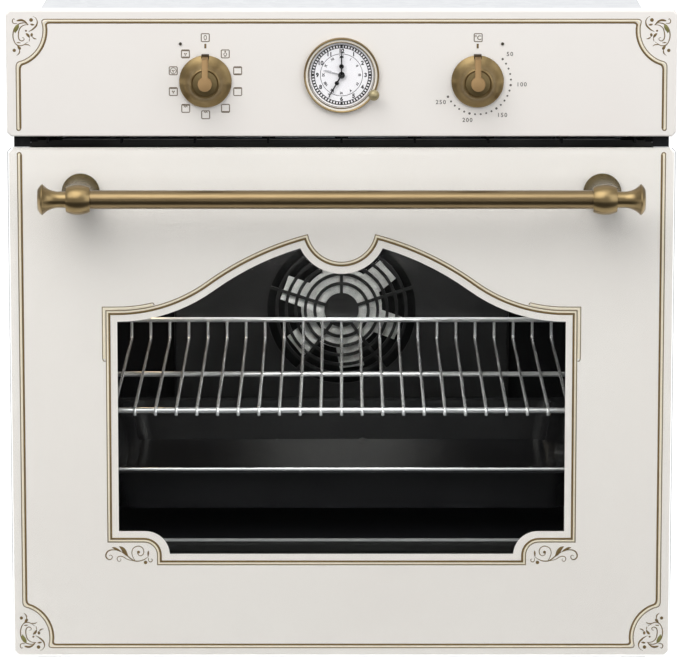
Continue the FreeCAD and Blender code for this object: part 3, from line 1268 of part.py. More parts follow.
def panel_carrier():
    """Sheet behind the panel that holds the switches and the clock and meets the side casings."""
    back = CARRIER_BACK + CARRIER_RETURN
    plate = block(-CASING_HALF, CASING_HALF, PANEL_DEPTH, CARRIER_BACK, PANEL_BOTTOM, TOP_INNER)
    floor = block(-CASING_HALF, CASING_HALF, PANEL_DEPTH, FRAME_FRONT,
                  PANEL_BOTTOM, PANEL_BOTTOM + CARRIER_SHEET)
    roof = block(-CASING_HALF, CASING_HALF, PANEL_DEPTH, back, TOP_INNER - CARRIER_SHEET, TOP_INNER)
    end = block(CASING_HALF - CARRIER_SHEET, CASING_HALF, PANEL_DEPTH, back,
                PANEL_BOTTOM + CARRIER_FOOT, TOP_INNER)
    cuts = [disc(SWITCH_NOSE + STATIC_FIT, side * KNOB_X, KNOB_Z, PANEL_DEPTH - 1, CARRIER_BACK + 1)
            for side in (-1, 1)]
    cuts.append(disc(CLOCK_CASE + SEAT_GAP, 0, CLOCK_Z, PANEL_DEPTH - 1, CARRIER_BACK + 1))
    return fused(plate, [floor, roof, end, mirrored(end)]).cut(Part.makeCompound(cuts))


def switch_core(x, body):
    """A switch body with its nose through the carrier and a running bore for the spindle."""
    front = PANEL_DEPTH - SWITCH_NOSE_REACH
    nose = disc(SWITCH_NOSE, x, KNOB_Z, front, CARRIER_BACK)
    bore = disc(SPINDLE_RADIUS + RUNNING_FIT, x, KNOB_Z, front - 1, CARRIER_BACK + SWITCH_DEPTH * 0.8)
    return fused(nose, body).cut(bore)


def selector_switch():
    """Square rotary switch with contact tags on its back."""
    half = SWITCH_SIZE / 2
    back = CARRIER_BACK + SWITCH_DEPTH
    body = block(-KNOB_X - half, -KNOB_X + half, CARRIER_BACK, back, KNOB_Z - half, KNOB_Z + half)
    tags = []
    for column in (-1.5, -0.5, 0.5, 1.5):
        for row in (-1, 0, 1):
            x = -KNOB_X + column * TAG_PITCH
            z = KNOB_Z + row * TAG_ROW
            tags.append(block(x - TAG_SHEET / 2, x + TAG_SHEET / 2, back, back + TAG_LENGTH,
                              z - TAG_WIDTH / 2, z + TAG_WIDTH / 2))
    return switch_core(-KNOB_X, [body] + tags)


def thermostat_body():
    """Round capillary thermostat with a stepped back."""
    back = CARRIER_BACK + SWITCH_DEPTH
    can = disc(SWITCH_SIZE / 2, KNOB_X, KNOB_Z, CARRIER_BACK, back - SWITCH_STEP)
    cup = disc(SWITCH_SIZE / 3, KNOB_X, KNOB_Z, back - SWITCH_STEP, back)
    return switch_core(KNOB_X, [can, cup])


def knob(x):
    """Flared knob with a keyhole-shaped pointer that stands up to the rim."""
    base = -KNOB_GAP - KNOB_SKIRT
    rise = KNOB_HEIGHT - KNOB_SKIRT
    grow = KNOB_RADIUS - KNOB_HUB
    profile = [(0, -KNOB_GAP), (KNOB_RADIUS - KNOB_EDGE, -KNOB_GAP), (KNOB_RADIUS, -KNOB_GAP - KNOB_EDGE),
               (KNOB_RADIUS, base)]
    for share in (0.2, 0.4, 0.6, 0.8, 1.0):
        profile.append((KNOB_HUB + grow * (1 - share) ** 2, base - rise * 0.75 * share ** 1.2))
    profile += [(KNOB_HUB, base - rise * 0.9), (KNOB_HUB - 2 * KNOB_EDGE, base - rise), (0, base - rise)]
    front = -KNOB_GAP - POINTER_HEIGHT
    rim = KNOB_Z + KNOB_RADIUS + POINTER_TAB
    bulb = disc(POINTER_BULB, x, KNOB_Z, front, base - rise + 1)
    left = x - POINTER_WIDTH / 2
    foot = base - KNOB_EDGE
    side = [V(left, front, KNOB_Z), V(left, foot, KNOB_Z), V(left, foot, rim), V(left, base - rise * 0.55, rim),
            V(left, front, KNOB_Z + KNOB_HUB)]
    lever = Part.Face(Part.makePolygon(side + side[:1])).extrude(V(POINTER_WIDTH, 0, 0))
    bore = disc(SPINDLE_RADIUS + STATIC_FIT, x, KNOB_Z, -KNOB_GAP - KNOB_HEIGHT * 0.7, 1)
    return fused(turned(profile, x, KNOB_Z), [bulb, lever]).cut(bore)


def spindle(x):
    """Knob shaft from the knob into its switch."""
    return disc(SPINDLE_RADIUS, x, KNOB_Z, -KNOB_GAP - KNOB_HEIGHT * 0.7, CARRIER_BACK + SWITCH_DEPTH * 0.7)


def pilot_lamps():
    """Two small indicator lenses, held in the panel and backed by the carrier."""
    return pair(disc(PILOT_RADIUS, PILOT_X, PILOT_Z, -PILOT_PROUD, PANEL_DEPTH))


def vent_trim():
    """Black trim in the vent slot: a slotted back, cross ribs and end plates before the cabinet."""
    low = PANEL_BOTTOM - VENT_DROP
    back = FRAME_FRONT - VENT_TRIM_SHEET
    top = block(-CASING_HALF, CASING_HALF, PANEL_DEPTH, FRAME_FRONT,
                PANEL_BOTTOM - VENT_TRIM_SHEET, PANEL_BOTTOM)
    screen = block(-CASING_HALF, CASING_HALF, back, FRAME_FRONT, low, PANEL_BOTTOM)
    ear = block(CASING_HALF - RIB_CLEAR, FLANGE_OUTER, CABINET_FACE - VENT_TRIM_SHEET, CABINET_FACE,
                low, PANEL_BOTTOM)
    places = [index * RIB_PITCH for index in range(-RIB_SIDE, RIB_SIDE + 1)]
    ribs = [block(x - RIB_WIDTH / 2, x + RIB_WIDTH / 2, RIB_FRONT, FRAME_FRONT, low, PANEL_BOTTOM)
            for x in places]
    middle = low + (VENT_DROP - VENT_TRIM_SHEET) / 2
    slots = [block(x + RIB_CLEAR, x + RIB_PITCH - RIB_CLEAR, back - 1, FRAME_FRONT + 1,
                   middle - VENT_SLOT / 2, middle + VENT_SLOT / 2) for x in places[:-1]]
    return fused(top, [screen, ear, mirrored(ear)] + ribs).cut(Part.makeCompound(slots))


# Clock


def clock_case():
    """Movement case behind the panel, with a bore for the hand tubes and a guide for the setting stem."""
    back = CASE_FRONT + PANEL_WALL
    flange = disc(CLOCK_FLANGE, 0, CLOCK_Z, CASE_FRONT, back)
    barrel = disc(CLOCK_CASE, 0, CLOCK_Z, back, CASE_FRONT + CLOCK_CASE_DEPTH)
    guide = disc(SETTING_BOSS, SETTING_X, SETTING_Z, back, back + SETTING_GUIDE)
    bore = disc(TUBE_ALARM + RUNNING_FIT, 0, CLOCK_Z, CASE_FRONT - 1, CASE_FRONT + CLOCK_CASE_DEPTH / 2)
    slide = disc(SETTING_SLEEVE + RUNNING_FIT, SETTING_X, SETTING_Z, CASE_FRONT - 1, PANEL_DEPTH)
    return fused(flange, [barrel, guide]).cut(Part.makeCompound([bore, slide]))


def clock_dial():
    """Dial plate on the case."""
    return ring(CLOCK_OPEN + DIAL_LAP, TUBE_ALARM + RUNNING_FIT, 0, CLOCK_Z, DIAL_FRONT, CASE_FRONT)


def clock_bezel():
    """Rounded bezel with a boss for the setting stem."""
    outer = CLOCK_RADIUS
    inner = CLOCK_OPEN
    band = outer - inner
    profile = [(inner, 0), (outer, 0), (outer, -CLOCK_PROUD * 0.5), (outer - band * 0.24, -CLOCK_PROUD * 0.88),
               (outer - band * 0.59, -CLOCK_PROUD), (inner + band * 0.12, -CLOCK_PROUD * 0.94),
               (inner, -CLOCK_PROUD * LENS_SHARE)]
    boss = disc(SETTING_BOSS, SETTING_X, SETTING_Z, -CLOCK_PROUD, 0)
    bore = disc(SETTING_SLEEVE + RUNNING_FIT, SETTING_X, SETTING_Z, -CLOCK_PROUD - 1, 1)
    mouth = disc(inner, 0, CLOCK_Z, -CLOCK_PROUD - 1, 1)
    return fused(turned(profile, 0, CLOCK_Z), [boss]).cut(Part.makeCompound([bore, mouth]))


def clock_lens():
    """Flat lens inside the bezel."""
    front = -CLOCK_PROUD * LENS_SHARE
    return disc(CLOCK_OPEN - STATIC_FIT, 0, CLOCK_Z, front, front + LENS)


def hand(step, length, width, turn, tube_outer, tube_inner, tube_end):
    """A clock hand with a bulb, on its own tube; step counts outwards from the dial."""
    back = DIAL_FRONT - HAND_CLEAR - step * HAND_STEP
    front = back - HAND
    points = [V(-width * 0.3, front, CLOCK_Z - length * 0.22), V(width * 0.3, front, CLOCK_Z - length * 0.22),
              V(width * 0.5, front, CLOCK_Z + length * 0.5), V(width * 0.8, front, CLOCK_Z + length * 0.72),
              V(0, front, CLOCK_Z + length), V(-width * 0.8, front, CLOCK_Z + length * 0.72),
              V(-width * 0.5, front, CLOCK_Z + length * 0.5)]
    blade = Part.Face(Part.makePolygon(points + points[:1])).extrude(V(0, HAND, 0))
    bulb = disc(width * 1.05, 0, CLOCK_Z + length * 0.6, front, back)
    hub = disc(max(tube_outer, width), 0, CLOCK_Z, front, back)
    tube = disc(tube_outer, 0, CLOCK_Z, back, tube_end)
    piece = fused(blade, [bulb, hub, tube])
    if tube_inner > 0:
        piece = piece.cut(disc(tube_inner, 0, CLOCK_Z, front - 1, tube_end + 1))
    piece.rotate(V(0, 0, CLOCK_Z), ALONG_Y, turn)
    return piece


def minute_hand():
    """Minute hand at twelve, on the solid arbor."""
    return hand(2, MINUTE_LENGTH, MINUTE_WIDTH, 0, ARBOR, 0, CASE_FRONT + MINUTE_TAIL)


def hour_hand():
    """Hour hand at seven, on the inner tube."""
    bore = ARBOR + RUNNING_FIT
    return hand(1, HOUR_LENGTH, HOUR_WIDTH, HOUR_TURN, TUBE_HOUR, bore, CASE_FRONT + HOUR_TAIL)


def alarm_hand():
    """Alarm hand at half past nine, on the outer tube."""
    bore = TUBE_HOUR + RUNNING_FIT
    return hand(0, ALARM_LENGTH, ALARM_WIDTH, ALARM_TURN, TUBE_ALARM, bore, CASE_FRONT + ALARM_TAIL)


def setting_sleeve():
    """Sliding sleeve of the clock setting, guided in the bezel and the case."""
    back = CASE_FRONT + SLEEVE_TAIL
    return ring(SETTING_SLEEVE, SETTING_STEM + RUNNING_FIT, SETTING_X, SETTING_Z, SETTING_FRONT, back)


def setting_knob():
    """Ball knob on its stem in the sleeve."""
    centre = SETTING_FRONT - SEAT_GAP - SETTING_BALL
    ball = Part.makeSphere(SETTING_BALL, V(SETTING_X, centre, SETTING_Z))
    stem = disc(SETTING_STEM, SETTING_X, SETTING_Z, centre, CASE_FRONT + STEM_TAIL)
    return fused(ball, [stem])


PIECES = {
    "base_tray": base_tray(),
    "side_casings": pair(side_casing()),
    "top_cover": top_cover(),
    "rear_cover": rear_cover(),
    "casing_screws": casing_screws(),
    "front_frame": front_frame(),
    "cavity_shell": cavity_shell(),
    "cavity_rear_wall": cavity_rear_wall(),
    "insulation": insulation(),
    "door_gasket": door_gasket(),
    "wire_racks": pair(rack()),
    "wire_shelf": wire_shelf(),
    "baking_tray": baking_tray(),
    "fan_baffle": fan_baffle(),
    "fan_wheel": fan_wheel(),
    "fan_motor": fan_motor(),
    "ring_element": ring_element(),
    "grill_element": grill_element(),
    "lamp_holder": lamp_holder(),
    "lamp_glass": lamp_glass(),
    "thermostat_probe": thermostat_probe(),
    "cooling_duct": cooling_duct(),
    "cooling_wheel": cooling_wheel(),
    "cooling_motor": cooling_motor(),
    "terminal_block": terminal_block(),
    "cable_gland": cable_gland(),
    "door_glass": door_glass(),
    "door_enamel": door_enamel(),
    "door_mid_glass": door_mid_glass(),
    "door_inner_glass": door_inner_glass(),
    "door_columns": pair(door_column()),
    "door_top_trim": door_top_trim(),
    "door_bottom_rail": door_bottom_rail(),
    "handle_bar": handle_bar(),
    "handle_posts": pair(handle_post()),
    "handle_finials": pair(handle_finial()),
    "hinge_bodies": pair(hinge_body()),
    "hinge_pins": pair(hinge_pin()),
    "hinge_springs": pair(hinge_spring()),
    "hinge_claws": pair(hinge_claw()),
    "hinge_receivers": pair(hinge_receiver()),
    "control_panel": control_panel(),
    "panel_carrier": panel_carrier(),
    "selector_switch": selector_switch(),
    "thermostat_body": thermostat_body(),
    "function_knob": knob(-KNOB_X),
    "function_spindle": spindle(-KNOB_X),
    "temperature_knob": knob(KNOB_X),
    "temperature_spindle": spindle(KNOB_X),
    "pilot_lamps": pilot_lamps(),
    "vent_trim": vent_trim(),
    "clock_case": clock_case(),
    "clock_dial": clock_dial(),
    "clock_bezel": clock_bezel(),
    "clock_lens": clock_lens(),
    "minute_hand": minute_hand(),
    "hour_hand": hour_hand(),
    "alarm_hand": alarm_hand(),
    "setting_sleeve": setting_sleeve(),
    "setting_knob": setting_knob(),
}

os.makedirs("parts", exist_ok=True)
for name, shape in PIECES.items():
    placed = shape.copy()
    placed.translate(V(0, -CENTRE_Y, 0))
    placed.exportStep("parts/" + name + ".step")
print(len(PIECES), "pieces, origin shift", CENTRE_Y)
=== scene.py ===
"""Looks of a built-in oven: finishes, front print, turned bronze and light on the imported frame."""

import logging
import math
from collections.abc import Sequence
from dataclasses import dataclass, field
from enum import Enum

import bmesh
import bpy
from mathutils import Matrix, Vector


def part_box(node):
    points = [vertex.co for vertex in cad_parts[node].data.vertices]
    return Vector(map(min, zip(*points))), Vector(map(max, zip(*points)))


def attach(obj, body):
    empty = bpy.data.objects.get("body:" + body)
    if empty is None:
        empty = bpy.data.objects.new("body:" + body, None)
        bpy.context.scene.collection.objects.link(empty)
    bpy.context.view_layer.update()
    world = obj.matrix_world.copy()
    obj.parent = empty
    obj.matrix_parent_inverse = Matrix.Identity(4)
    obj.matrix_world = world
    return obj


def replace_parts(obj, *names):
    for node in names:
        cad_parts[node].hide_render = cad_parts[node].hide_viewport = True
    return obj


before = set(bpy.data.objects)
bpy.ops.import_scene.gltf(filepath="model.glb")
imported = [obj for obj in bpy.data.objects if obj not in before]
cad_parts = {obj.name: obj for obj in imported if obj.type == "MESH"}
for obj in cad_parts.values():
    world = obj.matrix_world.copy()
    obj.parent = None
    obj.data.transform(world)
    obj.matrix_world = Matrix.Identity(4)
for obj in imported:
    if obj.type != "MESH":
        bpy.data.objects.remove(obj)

LOG = logging.getLogger("oven")
MM = 0.001
SMOOTH = math.radians(34.0)
SHARP_BEND = math.radians(24.0)
PRINT_GAP = 0.06
WELD = 1e-6
PLACES = 9
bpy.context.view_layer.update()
Point = tuple[float, float]
Triple = tuple[float, float, float]
Colour = Triple


def linear(red: float, green: float, blue: float) -> Colour:
    """Turn a display colour into a scene colour.

    Args:
        red: Display value from 0 to 255.
        green: Display value from 0 to 255.
        blue: Display value from 0 to 255.

    Returns:
        The colour in linear light.
    """
    def one(value: float) -> float:
        """One channel in linear light."""
        share = value / 255.0
        return share / 12.92 if share <= 0.04045 else ((share + 0.055) / 1.055) ** 2.4

    return one(red), one(green), one(blue)


class Grain(Enum):
    """How a surface breaks up close to."""

    PLAIN = "plain"
    CLOUD = "cloud"
    BRUSHED = "brushed"
    SPECKLE = "speckle"
    SPANGLE = "spangle"
    FIBRE = "fibre"


@dataclass(frozen=True)
class Finish:
    """A surface finish as one shader."""

    name: str
    colour: Colour
    second: Colour = (0.5, 0.5, 0.5)
    metallic: float = 0.0
    roughness: float = 0.4
    coat: float = 0.0
    coat_rough: float = 0.08
    transmission: float = 0.0
    ior: float = 1.45
    grain: Grain = Grain.CLOUD
    pitch: float = 60.0
    stretch: Triple = (1.0, 1.0, 1.0)
    mix: float = 0.5
    bump: float = 0.0
    relief: float = 0.0005
    glow: float = 0.0
    spun: float = 0.0
    spun_turn: float = 0.25
    fine: float = 3.0
    woolly: float = 6.0
    speck: Point = (0.05, 0.12)

    def material(self) -> bpy.types.Material:
        """Make the shader once and hand it out again after that.

        Returns:
            The material of this finish.
        """
        made = bpy.data.materials.get(self.name)
        if made is not None:
            return made
        made = bpy.data.materials.new(self.name)
        made.use_nodes = True
        tree = made.node_tree
        shader = tree.nodes["Principled BSDF"]
        shader.inputs["Base Color"].default_value = (*self.colour, 1.0)
        shader.inputs["Metallic"].default_value = self.metallic
        shader.inputs["Roughness"].default_value = self.roughness
        shader.inputs["IOR"].default_value = self.ior
        shader.inputs["Coat Weight"].default_value = self.coat
        shader.inputs["Coat Roughness"].default_value = self.coat_rough
        shader.inputs["Transmission Weight"].default_value = self.transmission
        if self.glow > 0.0:
            shader.inputs["Emission Color"].default_value = (*self.colour, 1.0)
            shader.inputs["Emission Strength"].default_value = self.glow
        if self.spun > 0.0:
            self._spin_grain(tree, shader)
        if self.grain is not Grain.PLAIN:
            self._break_up(tree, shader)
        return made

    def _spin_grain(self, tree: bpy.types.NodeTree, shader: bpy.types.Node) -> None:
        """Stretch the gloss across the rings that turning leaves.

        Args:
            tree: The material's node tree.
            shader: The surface shader in it.
        """
        rings = tree.nodes.new("ShaderNodeTangent")
        rings.direction_type = "RADIAL"
        rings.axis = "Y"
        shader.inputs["Anisotropic"].default_value = self.spun
        shader.inputs["Anisotropic Rotation"].default_value = self.spun_turn
        tree.links.new(rings.outputs["Tangent"], shader.inputs["Tangent"])

    def _break_up(self, tree: bpy.types.NodeTree, shader: bpy.types.Node) -> None:
        """Add the grain's pattern to colour, roughness and relief.

        Args:
            tree: The material's node tree.
            shader: The surface shader in it.
        """
        place = tree.nodes.new("ShaderNodeTexCoord")
        stretch = tree.nodes.new("ShaderNodeMapping")
        stretch.inputs["Scale"].default_value = [self.pitch * share for share in self.stretch]
        tree.links.new(place.outputs["Object"], stretch.inputs["Vector"])
        if self.grain in (Grain.SPANGLE, Grain.SPECKLE):
            pattern = tree.nodes.new("ShaderNodeTexVoronoi")
            value = pattern.outputs["Distance"] if self.grain is Grain.SPECKLE else pattern.outputs["Color"]
        else:
            pattern = tree.nodes.new("ShaderNodeTexNoise")
            pattern.inputs["Detail"].default_value = self.woolly if self.grain is Grain.FIBRE else self.fine
            value = pattern.outputs["Fac"]
        pattern.inputs["Scale"].default_value = 1.0
        tree.links.new(stretch.outputs["Vector"], pattern.inputs["Vector"])
        ramp = tree.nodes.new("ShaderNodeValToRGB")
        low, high = ramp.color_ramp.elements
        if self.grain is Grain.SPECKLE:
            low.position, high.position = self.speck
            low.color, high.color = (*self.second, 1.0), (*self.colour, 1.0)
        else:
            low.position, high.position = 0.5 - self.mix / 2, 0.5 + self.mix / 2
            low.color, high.color = (*self.colour, 1.0), (*self.second, 1.0)
        tree.links.new(value, ramp.inputs["Fac"])
        tree.links.new(ramp.outputs["Color"], shader.inputs["Base Color"])
        if self.bump > 0.0:
            relief = tree.nodes.new("ShaderNodeBump")
            relief.inputs["Strength"].default_value = self.bump
            relief.inputs["Distance"].default_value = self.relief
            tree.links.new(value, relief.inputs["Height"])
            tree.links.new(relief.outputs["Normal"], shader.inputs["Normal"])


CREAM = Finish("cream_enamel_gloss", linear(253, 249, 244), linear(251, 246, 241), roughness=0.3,
               coat=0.15, pitch=9.0)
CREAM_PRINT = Finish("cream_fired_print", linear(245, 241, 236), linear(243, 238, 233), roughness=0.5,
                     pitch=6.0)
GOLD_DARK = Finish("gold_ink_dark", linear(112, 91, 52), linear(124, 102, 62), roughness=0.5, pitch=400.0)
GOLD_PALE = Finish("gold_ink_pale", linear(251, 242, 220), linear(248, 237, 212), roughness=0.5,
                   pitch=300.0)
GOLD_THIN = Finish("gold_ink_thin", linear(124, 106, 72), linear(138, 120, 86), roughness=0.5,
                   pitch=400.0)
OLIVE = Finish("olive_ink", linear(122, 118, 62), linear(136, 132, 78), roughness=0.5, pitch=400.0)
INK_BROWN = Finish("brown_ink", linear(122, 110, 94), linear(134, 122, 106), roughness=0.5, pitch=300.0)
BRONZE = Finish("antique_bronze_satin", linear(142, 123, 89), linear(124, 104, 71), metallic=1.0,
                roughness=0.3, coat=0.3, coat_rough=0.3, grain=Grain.BRUSHED, pitch=40.0,
                stretch=(1.0, 22.5, 22.5), mix=0.6, bump=0.05)
BRONZE_TURNED = Finish("antique_bronze_turned", linear(152, 132, 94), linear(134, 113, 74), metallic=1.0,
                       roughness=0.3, coat=0.3, coat_rough=0.3, pitch=70.0, mix=0.7, bump=0.02)
# Darker copy of the bronze for the posts' bells: painted shade on the bells.
BRONZE_BELL_PAINTED_SHADE = Finish("antique_bronze_bell_painted_shade", linear(104, 91, 57), linear(88, 75, 44), metallic=1.0,
                     roughness=0.22, pitch=70.0, mix=0.7)
BRONZE_SPUN = Finish("antique_bronze_spun", linear(158, 138, 100), linear(138, 117, 78), metallic=1.0,
                     roughness=0.36, pitch=70.0, mix=0.7, spun=0.85)
LEVER = Finish("bronze_lever_satin", linear(146, 118, 78), linear(136, 108, 70), metallic=0.45,
               roughness=0.5, pitch=90.0)
BRONZE_DOME = Finish("bronze_dome_satin", linear(126, 109, 72), linear(112, 95, 60), metallic=0.5,
                     roughness=0.5, pitch=90.0)
BRONZE_BALL = Finish("bronze_ball_satin", linear(180, 168, 132), linear(166, 153, 116), metallic=0.6,
                     roughness=0.45, pitch=90.0)
# Dark brown for the tab under each pointer's end: painted shade that stands in for the shaded end face.
BRONZE_PAINTED_SHADE = Finish("bronze_tab_painted_shade", linear(62, 47, 27), linear(52, 39, 22), metallic=0.3,
                     roughness=0.5, pitch=90.0)
# Pale cream on the bezel's inner slope: a painted reflection that stands in for the bright reflection of the
# bronze there.
BEZEL_PAINTED_REFLECTION = Finish("bezel_cream_band", linear(248, 242, 230), linear(244, 237, 224), roughness=0.4,
                     pitch=200.0)
OUTER_GLASS = Finish("outer_pane", (0.985, 0.99, 0.985), transmission=1.0, roughness=0.0, ior=1.2,
                     grain=Grain.PLAIN)
INNER_GLASS = Finish("inner_panes", (0.97, 0.98, 0.975), transmission=1.0, roughness=0.0, ior=1.04,
                     grain=Grain.PLAIN)
LENS_GLASS = Finish("clock_lens_glass", (0.99, 0.99, 0.99), transmission=1.0, roughness=0.0, ior=1.1,
                    grain=Grain.PLAIN)
LAMP_GLASS = Finish("lamp_dome_glass", (1.0, 0.86, 0.62), transmission=1.0, roughness=0.25, ior=1.3,
                    grain=Grain.PLAIN)
CHROME = Finish("chromed_wire_bright", linear(240, 240, 241), linear(222, 222, 226), metallic=0.7,
                roughness=0.18, pitch=120.0)
BLACK_ENAMEL = Finish("oven_enamel_speckled", (0.003, 0.003, 0.0035), (0.012, 0.012, 0.013),
                      roughness=0.3, ior=1.22, grain=Grain.SPECKLE, pitch=260.0)
TRAY_ENAMEL = Finish("tray_enamel_gloss", (0.007, 0.007, 0.008), (0.012, 0.012, 0.013), roughness=0.22,
                     ior=1.36, pitch=20.0)
BAFFLE_ENAMEL = Finish("baffle_enamel", (0.006, 0.006, 0.0065), (0.011, 0.011, 0.0115), roughness=0.38,
                       ior=1.36, pitch=30.0)
ZINC = Finish("galvanised_sheet", linear(166, 169, 173), linear(153, 156, 161), metallic=0.8,
              roughness=0.45, grain=Grain.SPANGLE, pitch=110.0, mix=0.9)
# Paler, less metallic copy of the galvanised sheet for the top cover: painted light on the top.
ZINC_PAINTED_LIGHT = Finish("top_sheet_painted_light", linear(220, 222, 224), linear(211, 213, 216), metallic=0.3,
                   roughness=0.5, grain=Grain.SPANGLE, pitch=110.0, mix=0.9)
STEEL = Finish("front_steel_satin", linear(176, 176, 174), linear(150, 150, 148), metallic=1.0,
               roughness=0.3, grain=Grain.BRUSHED, pitch=20.0, stretch=(1.0, 30.0, 30.0))
FRAME_STEEL = Finish("front_frame_dark_satin", linear(84, 84, 83), linear(70, 70, 69), metallic=1.0,
                     roughness=0.42, grain=Grain.BRUSHED, pitch=20.0, stretch=(1.0, 30.0, 30.0))
PLATED = Finish("zinc_plated_bright", linear(205, 206, 208), linear(185, 186, 190), metallic=1.0,
                roughness=0.24, pitch=150.0)
HEATER = Finish("heater_tube_oxidised", linear(70, 66, 64), linear(46, 43, 42), metallic=0.6,
                roughness=0.5, pitch=90.0, bump=0.05)
ALUMINIUM = Finish("satin_aluminium", linear(205, 206, 206), linear(188, 189, 190), metallic=1.0,
                   roughness=0.35, grain=Grain.BRUSHED, pitch=30.0, stretch=(20.0, 20.0, 1.0))
FAN_SHEET = Finish("fan_sheet_bright", linear(252, 252, 252), linear(214, 214, 214), metallic=0.15,
                   roughness=0.45, pitch=90.0, mix=0.3)
MOTOR = Finish("motor_grey_paint", linear(96, 98, 100), linear(80, 82, 84), roughness=0.5, pitch=90.0)
BLACK_PLASTIC = Finish("black_plastic_matt", (0.009, 0.009, 0.010), (0.016, 0.016, 0.017), roughness=0.55,
                       ior=1.18, pitch=500.0, bump=0.05)
PALE_PLASTIC = Finish("pale_plastic_matt", linear(222, 218, 205), linear(212, 207, 192), roughness=0.5,
                      pitch=200.0)
WOOL = Finish("mineral_wool", linear(206, 190, 140), linear(176, 158, 108), roughness=0.95,
              grain=Grain.FIBRE, pitch=160.0, bump=0.8)
SEAL = Finish("woven_seal", linear(28, 28, 28), linear(38, 38, 38), roughness=0.9, ior=1.15,
              grain=Grain.FIBRE, pitch=700.0, bump=0.4)
DIAL_WHITE = Finish("dial_white_satin", linear(247, 246, 249), linear(243, 242, 246), roughness=0.5,
                    pitch=60.0)
INK_BLACK = Finish("black_ink", (0.012, 0.012, 0.014), (0.02, 0.02, 0.022), roughness=0.5, pitch=300.0)
INK_GREY = Finish("grey_ink", linear(96, 92, 88), linear(110, 106, 100), roughness=0.5, pitch=300.0)
HAND_BLACK = Finish("hand_black_satin", (0.010, 0.010, 0.012), (0.016, 0.016, 0.018), roughness=0.3,
                    pitch=300.0)
HAND_SILVER = Finish("hand_silver_satin", linear(196, 196, 200), linear(184, 184, 188), roughness=0.4,
                     pitch=300.0)
PILOT = Finish("pilot_lens", linear(70, 62, 48), linear(54, 48, 38), roughness=0.2, pitch=500.0)
WHITE_FLOOR = Finish("studio_white", (0.5, 0.5, 0.5), roughness=0.9, grain=Grain.PLAIN, glow=1.6)
WHITE_PLINTH = Finish("studio_plinth_white", (0.8, 0.8, 0.8), roughness=0.9, grain=Grain.PLAIN, glow=1.3)
DARK_FLAG = Finish("studio_dark_flag", (0.02, 0.02, 0.02), roughness=0.9, grain=Grain.PLAIN)

CLEAR_FINISHES = (OUTER_GLASS, INNER_GLASS, LENS_GLASS, LAMP_GLASS)
NODE_FINISHES: tuple[tuple[Finish, tuple[str, ...]], ...] = (
    (CREAM, ("control_panel",)),
    (CREAM_PRINT, ("door_enamel",)),
    (OUTER_GLASS, ("door_glass",)),
    (INNER_GLASS, ("door_mid_glass", "door_inner_glass")),
    (LENS_GLASS, ("clock_lens",)),
    (LAMP_GLASS, ("lamp_glass",)),
    (CHROME, ("wire_shelf", "wire_racks")),
    (BLACK_ENAMEL, ("cavity_shell", "cavity_rear_wall")),
    (TRAY_ENAMEL, ("baking_tray",)),
    (BAFFLE_ENAMEL, ("fan_baffle",)),
    (ZINC, ("base_tray", "side_casings", "rear_cover", "cooling_duct", "panel_carrier")),
    (ZINC_PAINTED_LIGHT, ("top_cover",)),
    (FRAME_STEEL, ("front_frame",)),
    (STEEL, ("hinge_bodies", "hinge_claws", "hinge_receivers", "function_spindle", "temperature_spindle")),
    (PLATED, ("hinge_pins", "hinge_springs", "casing_screws", "thermostat_probe")),
    (HEATER, ("ring_element", "grill_element")),
    (FAN_SHEET, ("fan_wheel",)),
    (ALUMINIUM, ("door_columns", "door_top_trim", "door_bottom_rail")),
    (MOTOR, ("fan_motor", "cooling_motor")),
    (BLACK_PLASTIC, ("vent_trim", "cooling_wheel", "clock_case", "selector_switch", "cable_gland")),
    (PILOT, ("pilot_lamps",)),
    (PALE_PLASTIC, ("thermostat_body", "terminal_block", "lamp_holder")),
    (WOOL, ("insulation",)),
    (SEAL, ("door_gasket",)),
    (DIAL_WHITE, ("clock_dial",)),
    (HAND_BLACK, ("minute_hand", "hour_hand")),
    (HAND_SILVER, ("alarm_hand",)),
    (BRONZE, ("handle_bar",)),
    (BRONZE_TURNED, ("setting_sleeve", "setting_knob", "handle_posts", "handle_finials", "function_knob",
                     "temperature_knob", "clock_bezel")),
)


def dress_nodes() -> None:
    """Give every CAD node its finish, and part the fired print from the glass before it."""
    for finish, names in NODE_FINISHES:
        for name in names:
            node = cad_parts[name]
            node.data.materials.clear()
            node.data.materials.append(finish.material())
            if finish in CLEAR_FINISHES:
                node.visible_shadow = False
        LOG.info("%s on %s", finish.name, ", ".join(names))
    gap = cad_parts["door_enamel"].modifiers.new("behind_glass", "DISPLACE")
    gap.direction = "Y"
    gap.mid_level = 0.0
    gap.strength = PRINT_GAP * MM


def front_of(node: str) -> float:
    """Y of a node's front, in metres."""
    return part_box(node)[0][1]


def middle_of(node: str) -> Vector:
    """Middle of a node's box, in metres."""
    low, high = (Vector(corner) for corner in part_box(node))
    return (low + high) / 2


def spot_of(item: bmesh.types.BMVert | bmesh.types.BMEdge | bmesh.types.BMFace) -> list[float]:
    """Middle of a corner, an edge or a face, rounded to well under a micrometre."""
    corners = [item.co] if isinstance(item, bmesh.types.BMVert) else [vert.co for vert in item.verts]
    return [round(sum(axis) / len(corners), PLACES) for axis in zip(*corners)]


def settle(work: bmesh.types.BMesh) -> None:
    """Put corners, edges and faces in one order, so that each run gives the same mesh.

    Args:
        work: Geometry whose order the operators left to chance.
    """
    groups = (work.verts, work.edges, work.faces)
    for items in groups:
        for place, item in enumerate(sorted(items, key=spot_of)):
            item.index = place
    for items in groups:
        items.sort()


